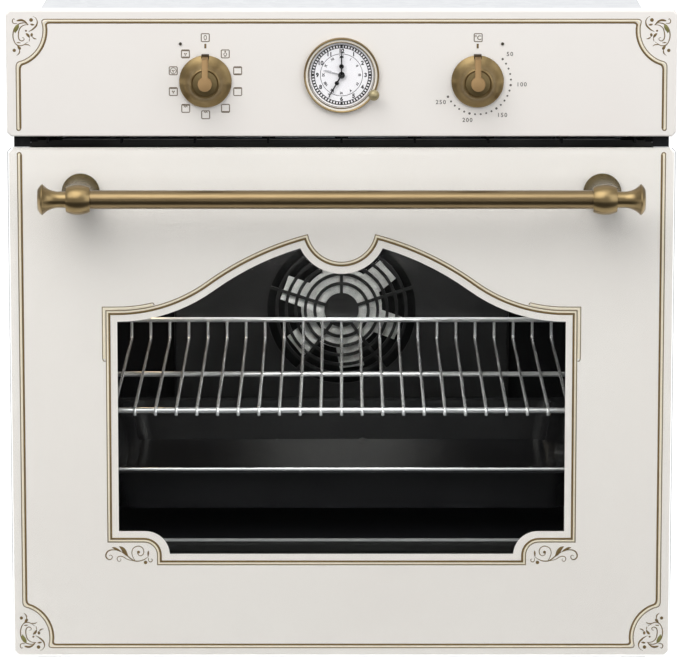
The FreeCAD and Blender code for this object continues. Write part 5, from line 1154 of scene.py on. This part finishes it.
@dataclass(frozen=True)
class Hand:
    """One black clock hand, cut from sheet on its arbor."""

    node: str
    body: str
    turn: float
    reach: float
    arbor: float
    bulbs: tuple[Point, ...]


@dataclass
class ClockFace:
    """Dial print, hands, bezel and setting knob of the clock."""

    z: float = 533.0
    ink: float = 0.08
    track_outer: float = 26.6
    track_inner: float = 24.0
    outer_line: float = 0.75
    inner_line: float = 0.6
    minute_bar: Point = (1.25, 2.6)
    quarter_bar: Point = (2.2, 2.6)
    figure_ring: float = 21.4
    figure_size: float = 3.5
    figure_bold: float = 0.2
    circle: float = 18.7
    circle_line: float = 0.45
    small_ring: float = 16.1
    small_size: float = 2.1
    small_bold: float = 0.12
    small_figures: tuple[str, ...] = (
        "XII", "I", "II", "III", "IV", "V", "VI", "VII", "VIII", "IX", "X", "XI")
    # Brown ring at the dial's edge: painted shade in the gap between dial and bezel.
    edge: float = 28.7
    edge_line: float = 0.5
    hand_sheet: float = 0.45
    hand_hub: float = 3.0
    hand_steps: tuple[Point, ...] = ((7.8, 1.3), (16.0, 1.1))
    hand_tip: float = 0.8
    hands: tuple[Hand, ...] = (
        Hand("minute_hand", "minute", 0.0, 23.0, 0.6, ((7.8, 2.1), (16.3, 1.2))),
        Hand("hour_hand", "hour", 210.0, 21.0, 1.1, ((8.3, 1.9), (15.7, 1.1))))
    rim: tuple[Point, ...] = ((33.4, -1.2), (33.1, -0.5), (32.5, 0.0), (31.9, -0.3), (31.6, -1.0))
    # Inner band of the bezel, coloured pale cream as a painted reflection.
    band: tuple[Point, ...] = ((31.6, -1.0), (30.4, -1.2), (29.9, -1.3))
    lip: tuple[Point, ...] = ((29.9, -1.2), (29.6, -1.1), (29.3, -1.4))
    neck: float = 1.5
    collar: Point = (2.2, 0.6)
    ball_start: float = -60.0
    ball_turn: float = 150.0
    ball_steps: int = 20

    def build(self) -> None:
        """Make the dial's print and the parts over it."""
        self._dial(front_of("clock_dial"))
        self._hands()
        self._bezel()
        self._setting()

    def _dial(self, plane: float) -> None:
        """Print the dial, with a brown ring of painted shade at its edge.

        Args:
            plane: Y of the dial's front, in metres.
        """
        centre = (0.0, self.z)
        art = Artwork("clock_dial_print", plane, INK_BLACK, "chassis", "hand_black", self.ink, centre)
        art.ring(0.0, 0.0, self.track_outer, self.outer_line, 96)
        art.ring(0.0, 0.0, self.track_inner, self.inner_line, 96)
        art.ring(0.0, 0.0, self.circle, self.circle_line, 80)
        middle = (self.track_outer + self.track_inner) / 2
        for minute in range(60):
            turn = 6.0 * minute
            size = self.minute_bar if minute % 15 else self.quarter_bar
            art.bar(*clockwise(0.0, 0.0, middle, turn), *size, -turn)
        for hour, small in enumerate(self.small_figures):
            turn = 30.0 * hour
            art.text(str(hour or 12), *clockwise(0.0, 0.0, self.figure_ring, turn), self.figure_size,
                     bold=self.figure_bold)
            art.text(small, *clockwise(0.0, 0.0, self.small_ring, turn), self.small_size, -turn,
                     self.small_bold)
        art.build()
        # The brown ring here is painted shade in the gap where the dial meets the bezel.
        line = Artwork("clock_dial_gap_painted_shade", plane, INK_BROWN, "chassis", "dial_white", self.ink, centre)
        line.ring(0.0, 0.0, self.edge, self.edge_line, 96)
        line.build()

    def _hands(self) -> None:
        """Cut the hands with their bulbs, each in its node's own layer."""
        for hand in self.hands:
            low, high = (Vector(corner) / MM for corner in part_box(hand.node))
            sheet, stem = self.hand_sheet, high.y - low.y
            art = Artwork(f"{hand.node}_cut", (low.y + sheet) * MM, HAND_BLACK, hand.body, "hand_black",
                          sheet, (0.0, self.z))
            place = Matrix.Translation((0.0, 0.0, sheet - stem / 2))
            bmesh.ops.create_cone(art.shapes, cap_ends=True, segments=16, radius1=hand.arbor,
                                  radius2=hand.arbor, depth=stem, matrix=place)
            start = 0.0
            for end, width in (*self.hand_steps, (hand.reach, self.hand_tip)):
                art.bar(*clockwise(0.0, 0.0, (start + end) / 2, hand.turn), width, end - start, -hand.turn)
                start = end
            for along, radius in hand.bulbs:
                art.dot(*clockwise(0.0, 0.0, along, hand.turn), radius)
            art.dot(0.0, 0.0, self.hand_hub)
            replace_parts(art.build(), hand.node)

    def _bezel(self) -> None:
        """Turn the bezel, with its inner band coloured pale cream as a painted reflection on the bronze."""
        low, high = (Vector(corner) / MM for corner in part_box("clock_bezel"))
        proud = high.y - low.y
        work = bmesh.new()
        place = facing_front(0.0, high.y * MM, self.z * MM)
        for crest, index in ((self.rim, 0), (self.band, 1), (self.lip, 0)):
            first, last = sorted((crest[0][0], crest[-1][0]))
            top = [(radius, proud + drop) for radius, drop in crest]
            spin_profile(work, [(first, 0.0), (last, 0.0), *top, (first, 0.0)], place, 128, index)
        piece = finished("clock_bezel_turned", work, [BRONZE_TURNED, BEZEL_PAINTED_REFLECTION], "chassis")
        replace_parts(piece, "clock_bezel")

    def _setting(self) -> None:
        """Turn the setting knob: a ball on a short neck."""
        low, high = (Vector(corner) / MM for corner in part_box("setting_knob"))
        middle = middle_of("setting_knob")
        ball = (high.x - low.x) / 2
        depth = high.y - low.y
        foot = depth - 2 * ball
        outline = [(0.0, 0.0), (self.neck, 0.0), (self.neck, foot), (self.collar[0], foot + self.collar[1])]
        start = self.ball_start
        outline += arc(0.0, depth - ball, ball, start, start + self.ball_turn, self.ball_steps)
        work = bmesh.new()
        spin_profile(work, outline, facing_front(middle.x, high.y * MM, middle.z), 48)
        piece = finished("setting_knob_turned", work, [BRONZE_BALL], "setting_turner")
        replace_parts(piece, "setting_knob")


@dataclass
class Knobs:
    """The two control knobs with their raised keyhole pointers."""

    x: float = 120.5
    z: float = 527.5
    pointer_half: float = 2.75
    pointer_end: float = 22.6
    pointer_foot: float = 1.8
    pointer_stock: float = 30.0
    pointer_edge: float = 0.45
    edge_bend: float = 25.0
    bulb: float = 6.3
    skirt: tuple[Point, ...] = (
        (0.0, 1.5), (21.6, 1.5), (22.9, 1.8), (23.25, 2.6), (22.6, 3.4), (21.0, 4.5), (19.2, 5.9),
        (17.4, 7.9), (16.0, 10.6), (15.0, 13.8), (14.2, 17.0), (13.5, 19.4), (12.9, 20.3), (12.1, 20.6),
        (11.4, 20.3), (10.9, 19.7))
    dome: tuple[Point, ...] = ((10.9, 19.7), (8.0, 20.6), (5.0, 21.2), (0.0, 21.5))
    slope: tuple[Point, Point] = ((-6.3, 28.5), (21.0, 17.6))
    tip: tuple[Point, Point] = ((21.0, 17.6), (22.6, 7.5))
    tab: Triple = (6.8, 3.6, 6.2)
    tab_rise: float = 4.8
    tab_edge: float = 0.5

    def build(self) -> None:
        """Make both knobs."""
        for node, body, sign in (("function_knob", "function_selector", -1.0),
                                 ("temperature_knob", "temperature_selector", 1.0)):
            work = bmesh.new()
            place = facing_front(sign * self.x * MM, front_of("control_panel"), self.z * MM)
            spin_profile(work, self.skirt, place, 96)
            spin_profile(work, self.dome, place, 96, 3)
            self._pointer(work, place)
            self._tab(work, place)
            piece = finished(f"{node}_cast", work, [BRONZE_SPUN, BRONZE_PAINTED_SHADE, LEVER, BRONZE_DOME], body)
            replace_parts(piece, node)

    def _stock(self) -> bmesh.types.BMesh:
        """Make the keyhole form that the pointer is cut from.

        Returns:
            The form, square to its own Z.
        """
        half, end = self.pointer_half, self.pointer_end
        join = math.degrees(math.acos(half / self.bulb))
        outline = [(half, end), (-half, end)] + arc(0.0, 0.0, self.bulb, 180.0 - join, 360.0 + join, 32)
        part = bmesh.new()
        foot, head = ([part.verts.new((x * MM, z * MM, level * MM)) for x, z in outline]
                      for level in (self.pointer_foot, self.pointer_foot + self.pointer_stock))
        part.faces.new(foot)
        part.faces.new(head)
        for side in range(len(outline)):
            part.faces.new((foot[side - 1], foot[side], head[side], head[side - 1]))
        return part

    def _pointer(self, work: bmesh.types.BMesh, place: Matrix) -> None:
        """Make the keyhole pointer, slope its top and round its edges.

        Args:
            work: Geometry that it is added to.
            place: Row-frame matrix of the knob.
        """
        part = self._stock()
        for (near, high), (far, low) in (self.slope, self.tip):
            every = part.verts[:] + part.edges[:] + part.faces[:]
            made = bmesh.ops.bisect_plane(part, geom=every, plane_co=(0.0, near * MM, high * MM),
                                          plane_no=(0.0, high - low, far - near), clear_outer=True)
            rim = [item for item in made["geom_cut"] if isinstance(item, bmesh.types.BMEdge)]
            bmesh.ops.contextual_create(part, geom=rim)
        bmesh.ops.recalc_face_normals(part, faces=part.faces)
        sharp = [edge for edge in part.edges if edge.calc_face_angle(0.0) > math.radians(self.edge_bend)]
        self._round(part, sharp, self.pointer_edge, 2)
        bmesh.ops.transform(part, matrix=place, verts=part.verts)
        add_to(work, part)

    def _tab(self, work: bmesh.types.BMesh, place: Matrix) -> None:
        """Set the tab under the pointer's end, coloured dark brown as painted shade on the end face.

        Args:
            work: Geometry that it is added to.
            place: Row-frame matrix of the knob.
        """
        part = bmesh.new()
        middle = Vector((0.0, self.pointer_end * MM, self.tab_rise * MM))
        slab(part, middle, Vector([side * MM for side in self.tab]))
        self._round(part, part.edges[:], self.tab_edge, 1)
        bmesh.ops.transform(part, matrix=place, verts=part.verts)
        add_to(work, part)

    def _round(self, part: bmesh.types.BMesh, edges: list[bmesh.types.BMEdge], size: float,
               index: int) -> None:
        """Round edges and mark the faces with one finish.

        Args:
            part: Geometry that is rounded.
            edges: Edges that are rounded.
            size: Size of the round in millimetres.
            index: Material index of all its faces.
        """
        bmesh.ops.bevel(part, geom=edges, offset=size * MM, offset_type="OFFSET", segments=2, profile=0.5,
                        affect="EDGES", material=-1)
        for face in part.faces:
            face.material_index = index


@dataclass
class DoorHandle:
    """Turned bronze bar, posts and finials in place of the CAD's facets."""

    post_x: float = 232.0
    screw: float = 3.0
    bell: tuple[Point, ...] = (
        (17.0, 0.0), (17.0, 1.6), (16.3, 2.8), (14.7, 6.0), (13.0, 11.0), (11.7, 17.0), (10.9, 24.0),
        (10.5, 32.0))
    post_neck: float = 10.5
    collar_half: float = 10.5
    collar_radius: float = 9.4
    collar_swell: float = 4.0
    collar_power: float = 0.6
    collar_turn: int = 78
    collar_step: int = 6
    finial_start: float = 242.5
    finial: tuple[Point, ...] = (
        (0.0, 0.0), (7.3, 0.0), (7.2, 6.2), (7.4, 9.0), (8.0, 12.0), (9.0, 14.6), (10.4, 17.0), (12.2, 19.2),
        (13.7, 20.8), (13.6, 21.4), (12.4, 22.8), (10.8, 24.0))
    finial_tip: float = 9.0

    def build(self) -> None:
        """Make the bar, its posts and its finials."""
        axis = middle_of("handle_bar")
        self._bar(axis)
        self._posts(axis)
        self._finials(axis)

    def _bar(self, axis: Vector) -> None:
        """Make the bar.

        Args:
            axis: Middle of the bar, in metres.
        """
        low, high = (Vector(corner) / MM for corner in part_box("handle_bar"))
        half, radius = high.x, (high.z - low.z) / 2
        work = bmesh.new()
        rod = [(0.0, -half), (radius, -half), (radius, half), (0.0, half)]
        spin_profile(work, rod, facing_side(0.0, axis.y, axis.z, True))
        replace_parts(finished("handle_bar_turned", work, [BRONZE], "door"), "handle_bar")

    def _posts(self, axis: Vector) -> None:
        """Make the two posts with their collars.

        Args:
            axis: Middle of the bar, in metres.
        """
        front = front_of("door_glass")
        tail = (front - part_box("handle_posts")[1][1]) / MM
        stem = (front - axis.y) / MM
        bell = [(0.0, tail), (self.screw, tail), (self.screw, 0.0), *self.bell, (self.post_neck, stem),
                (0.0, stem)]
        half, last = self.collar_half, self.collar_turn
        collar = [(0.0, -half)]
        for turn in range(-last, last + 1, self.collar_step):
            swell = self.collar_swell * math.cos(math.radians(turn)) ** self.collar_power
            collar.append((self.collar_radius + swell, half * turn / last))
        collar.append((0.0, half))
        work = bmesh.new()
        for sign in (1.0, -1.0):
            x = sign * self.post_x * MM
            spin_profile(work, bell, facing_front(x, front, axis.z), 72, 1)
            spin_profile(work, collar, facing_side(x, axis.y, axis.z, sign > 0))
        # Index 1, the bells, takes the darker bronze copy of painted shade.
        piece = finished("handle_posts_turned", work, [BRONZE_TURNED, BRONZE_BELL_PAINTED_SHADE], "door")
        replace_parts(piece, "handle_posts")

    def _finials(self, axis: Vector) -> None:
        """Make the two trumpet ends.

        Args:
            axis: Middle of the bar, in metres.
        """
        start = self.finial_start
        reach = (Vector(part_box("handle_finials")[1]) / MM).x - start
        work = bmesh.new()
        for sign in (1.0, -1.0):
            spin_profile(work, [*self.finial, (self.finial_tip, reach), (0.0, reach)],
                         facing_side(sign * start * MM, axis.y, axis.z, sign > 0))
        piece = finished("handle_finials_turned", work, [BRONZE_TURNED], "door")
        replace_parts(piece, "handle_finials")


@dataclass
class Interior:
    """Fan wheel, bright edges and vent ends as they show from the front."""

    blades: int = 6
    first_blade: float = 40.0
    blade_wide: float = 25.0
    blade_start: float = 19.0
    blade_end: float = 60.0
    blade_tilt: float = 14.0
    blade_sheet: float = 1.0
    wheel_depth: float = 12.0
    shaft: float = 3.0
    hub: float = 10.5
    hub_edge: float = 0.6
    disc: float = 40.0
    disc_share: float = 0.45
    disc_sheet: float = 1.2
    bead: float = 1.5
    bead_end: float = 22.0
    gasket_wide: float = 9.0
    lip_gap: float = 0.4
    lip_end: float = 32.0
    lip_high: float = 2.4
    lip_sheet: float = 0.6
    wing_start: float = 277.0
    wing_gap: float = 0.25
    wing_proud: float = 7.8
    wing_sheet: float = 1.5

    def build(self) -> None:
        """Make the wheel, the bright edges and the vent ends."""
        self._wheel()
        self._bead()
        self._lip()
        self._wings()

    def _wheel(self) -> None:
        """Make a star wheel of flat paddles on a hub."""
        low, high = (Vector(corner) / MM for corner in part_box("fan_wheel"))
        middle = middle_of("fan_wheel")
        depth, hub, edge = self.wheel_depth, self.hub, self.hub_edge
        tail = low.y + depth - high.y
        rear = depth * self.disc_share
        face = rear + self.disc_sheet
        work = bmesh.new()
        place = facing_front(middle.x, (low.y + depth) * MM, middle.z)
        outline = [(0.0, tail), (self.shaft, tail), (self.shaft, 0.0), (hub, 0.0), (hub, rear),
                   (self.disc, rear), (self.disc, face), (hub, face), (hub, depth - edge),
                   (hub - edge, depth), (0.0, depth)]
        spin_profile(work, outline, place, 64)
        reach = self.blade_end - self.blade_start
        spot = ((self.blade_start + reach / 2) * MM, 0.0, (rear + self.disc_sheet / 2) * MM)
        for step in range(self.blades):
            turn = math.radians(self.first_blade + 360.0 / self.blades * step)
            paddle = (place @ Matrix.Rotation(turn, 4, "Z") @ Matrix.Translation(spot)
                      @ Matrix.Rotation(math.radians(self.blade_tilt), 4, "X")
                      @ Matrix.Diagonal((reach * MM, self.blade_wide * MM, self.blade_sheet * MM, 1.0)))
            bmesh.ops.create_cube(work, size=1.0, matrix=paddle)
        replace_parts(finished("fan_wheel_star", work, [FAN_SHEET], "fan"), "fan_wheel")

    def _bead(self) -> None:
        """Lay a chrome bead along the tray's front rim: a bright piece that stands in for the highlight on
        the enamelled rim, a painted highlight.
        """
        low, high = (Vector(corner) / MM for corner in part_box("baking_tray"))
        half, radius = high.x - self.bead_end, self.bead
        work = bmesh.new()
        rod = [(0.0, -half), (radius, -half), (radius, half), (0.0, half)]
        spin_profile(work, rod, facing_side(0.0, (low.y + radius) * MM, (high.z + radius) * MM, True), 24)
        finished("tray_rim_painted_highlight", work, [CHROME], "tray")

    def _lip(self) -> None:
        """Set a bright strip between the seal and the oven's floor."""
        low, high = (Vector(corner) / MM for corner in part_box("door_gasket"))
        foot = low.z + self.gasket_wide + self.lip_gap
        size = Vector((2 * (high.x - self.lip_end), self.lip_sheet, self.lip_high))
        middle = Vector((0.0, high.y - self.lip_sheet / 2, foot + self.lip_high / 2))
        work = bmesh.new()
        slab(work, middle * MM, size * MM)
        finished("cavity_lip_strip", work, [CHROME], "chassis")

    def _wings(self) -> None:
        """Close the two ends of the vent with small black plates."""
        low, high = (Vector(corner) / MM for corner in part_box("vent_trim"))
        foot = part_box("door_glass")[1][2] / MM + self.wing_gap
        depth = low.y - self.wing_proud + self.wing_sheet / 2
        size = Vector((high.x - self.wing_start, self.wing_sheet, high.z - foot))
        work = bmesh.new()
        for sign in (1.0, -1.0):
            middle = Vector((sign * (self.wing_start + size.x / 2), depth, foot + size.z / 2))
            slab(work, middle * MM, size * MM)
        finished("vent_end_plates", work, [BLACK_PLASTIC], "chassis")


@dataclass(frozen=True)
class SoftBox:
    """One square studio light."""

    name: str
    place: Triple
    aim: Triple
    size: float
    power: float
    tint: Colour = (1.0, 1.0, 1.0)

    def hang(self) -> None:
        """Hang it at its place and turn it to its aim."""
        light = bpy.data.lights.new(self.name, "AREA")
        light.energy = self.power
        light.color = self.tint
        light.size = self.size
        holder = bpy.data.objects.new(self.name, light)
        holder.location = self.place
        way = Vector(self.aim) - Vector(self.place)
        holder.rotation_euler = way.to_track_quat("-Z", "Y").to_euler()
        bpy.context.scene.collection.objects.link(holder)


@dataclass(frozen=True)
class Flag:
    """One dark card on the floor, which the camera doesn't see."""

    name: str
    near: float
    far: float
    mirrored: bool


@dataclass
class Studio:
    """Camera, lights, sky and floor, with sizes in metres and powers in watts."""

    target: Triple = (0.0, -0.255, 0.2982)
    elevation: float = 10.0
    distance: float = 4.2
    lens: float = 247.5
    sensor: float = 36.0
    view_end: float = 200.0
    bounces: int = 14
    clear_bounces: int = 12
    boxes: tuple[SoftBox, ...] = (
        SoftBox("key", (-1.2, -2.4, 2.9), (0.0, -0.2, 0.45), 3.0, 56.0, (1.0, 0.99, 0.97)),
        SoftBox("fill", (2.2, -2.4, 1.5), (0.0, -0.2, 0.4), 2.4, 24.0, (0.97, 0.985, 1.0)),
        SoftBox("top", (0.0, -1.2, 2.2), (0.0, -0.25, 0.5), 1.8, 9.0),
        SoftBox("rear", (0.0, 2.4, 1.9), (0.0, 0.2, 0.3), 2.4, 16.0),
        SoftBox("cavity", (0.0, -0.2, 0.425), (0.0, 0.15, 0.24), 0.16, 1.3, (1.0, 0.98, 0.94)))
    lamp_place: Triple = (-0.19, 0.15, 0.385)
    lamp_power: float = 0.35
    lamp_tint: Colour = (1.0, 0.72, 0.42)
    lamp_radius: float = 0.012
    strip_size: Point = (0.36, 0.02)
    strip_power: float = 1.8
    strip_gap: float = 0.012
    strip_height: float = 0.395
    strip_turn: float = 70.0
    horizon: Colour = (0.42, 0.42, 0.43)
    zenith: Colour = (1.0, 1.0, 1.0)
    zenith_from: float = 0.9
    sky_power: float = 0.74
    floor: float = -0.085
    floor_half: float = 60.0
    plinth_inset: Point = (0.04, 0.06)
    flag_half: float = 3.0
    flag_rise: float = 0.01
    flags: tuple[Flag, ...] = (
        Flag("studio_flag", -4.5, -0.6, True),
        Flag("studio_near_flag", -0.6, -0.3, False))

    def build(self) -> None:
        """Set the stage."""
        self._camera()
        for box in self.boxes:
            box.hang()
        self._lamp()
        self._strip()
        self._sky()
        self._floor()
        for flag in self.flags:
            self._flag(flag)
        scene = bpy.context.scene
        scene.view_settings.view_transform = "Standard"
        scene.view_settings.look = "None"
        scene.cycles.max_bounces = self.bounces
        scene.cycles.transmission_bounces = self.clear_bounces
        scene.cycles.transparent_max_bounces = self.clear_bounces

    def _camera(self) -> None:
        """Aim the camera at the front from a little above."""
        lens = bpy.data.cameras.new("camera")
        lens.lens = self.lens
        lens.sensor_width = self.sensor
        lens.clip_end = self.view_end
        camera = bpy.data.objects.new("camera", lens)
        bpy.context.scene.collection.objects.link(camera)
        rise = math.radians(self.elevation)
        back = Vector((0.0, -math.cos(rise), math.sin(rise)))
        camera.location = Vector(self.target) + back * self.distance
        camera.rotation_euler = (math.pi / 2 - rise, 0.0, 0.0)
        bpy.context.scene.camera = camera

    def _lamp(self) -> None:
        """Light the small lamp in the oven."""
        lamp = bpy.data.lights.new("oven_lamp", "POINT")
        lamp.energy = self.lamp_power
        lamp.color = self.lamp_tint
        lamp.shadow_soft_size = self.lamp_radius
        bulb = bpy.data.objects.new("oven_lamp", lamp)
        bulb.location = self.lamp_place
        bpy.context.scene.collection.objects.link(bulb)

    def _strip(self) -> None:
        """Lay a thin glow along the oven's back, so that the wires catch an edge of light."""
        light = bpy.data.lights.new("rear_strip", "AREA")
        light.shape = "RECTANGLE"
        light.energy = self.strip_power
        light.size, light.size_y = self.strip_size
        holder = bpy.data.objects.new("rear_strip", light)
        holder.location = (0.0, front_of("fan_baffle") - self.strip_gap, self.strip_height)
        holder.rotation_euler = (math.radians(self.strip_turn), 0.0, 0.0)
        holder.visible_camera = False
        bpy.context.scene.collection.objects.link(holder)

    def _sky(self) -> None:
        """Shade the sky from a grey horizon to a bright top."""
        world = bpy.data.worlds.new("studio_sky")
        bpy.context.scene.world = world
        world.use_nodes = True
        tree = world.node_tree
        place = tree.nodes.new("ShaderNodeTexCoord")
        split = tree.nodes.new("ShaderNodeSeparateXYZ")
        ramp = tree.nodes.new("ShaderNodeValToRGB")
        low, high = ramp.color_ramp.elements
        low.position, high.position = 0.0, self.zenith_from
        low.color = (*self.horizon, 1.0)
        high.color = (*self.zenith, 1.0)
        tree.links.new(place.outputs["Generated"], split.inputs["Vector"])
        tree.links.new(split.outputs["Z"], ramp.inputs["Fac"])
        tree.links.new(ramp.outputs["Color"], tree.nodes["Background"].inputs["Color"])
        tree.nodes["Background"].inputs["Strength"].default_value = self.sky_power

    def _floor(self) -> None:
        """Lay a white floor and a white plinth under the oven."""
        work = bmesh.new()
        bmesh.ops.create_grid(work, x_segments=1, y_segments=1, size=self.floor_half,
                              matrix=Matrix.Translation((0.0, 0.0, self.floor)))
        floor = linked("studio_floor", work, [WHITE_FLOOR])
        low, high = (Vector(corner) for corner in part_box("base_tray"))
        across, along = self.plinth_inset
        size = Vector((high.x - low.x - across, high.y - low.y - along, -self.floor))
        block = bmesh.new()
        slab(block, Vector((0.0, (low.y + high.y) / 2, self.floor / 2)), size)
        plinth = linked("studio_plinth", block, [WHITE_PLINTH])

    def _flag(self, card: Flag) -> None:
        """Lay one dark card on the floor.

        Args:
            card: Its name, its edges and whether polished pieces mirror it.
        """
        work = bmesh.new()
        place = Matrix.Translation((0.0, (card.near + card.far) / 2, self.floor + self.flag_rise))
        shape = Matrix.Diagonal((self.flag_half, (card.far - card.near) / 2, 1.0, 1.0))
        bmesh.ops.create_grid(work, x_segments=1, y_segments=1, size=1.0, matrix=place @ shape)
        flag = linked(card.name, work, [DARK_FLAG])
        flag.visible_camera = False
        flag.visible_shadow = False
        flag.visible_glossy = card.mirrored


def main() -> None:
    """Build the visual model and its stage."""
    logging.basicConfig(level=logging.INFO, format="%(name)s %(message)s")
    dress_nodes()
    planes = {"chassis": front_of("control_panel"), "door": front_of("door_enamel")}
    FrontPrint().build(planes)
    Scrolls().build(planes)
    PanelLegend().build(front_of("control_panel"))
    ClockFace().build()
    Knobs().build()
    DoorHandle().build()
    Interior().build()
    Studio().build()


if __name__ == "__main__":
    main()
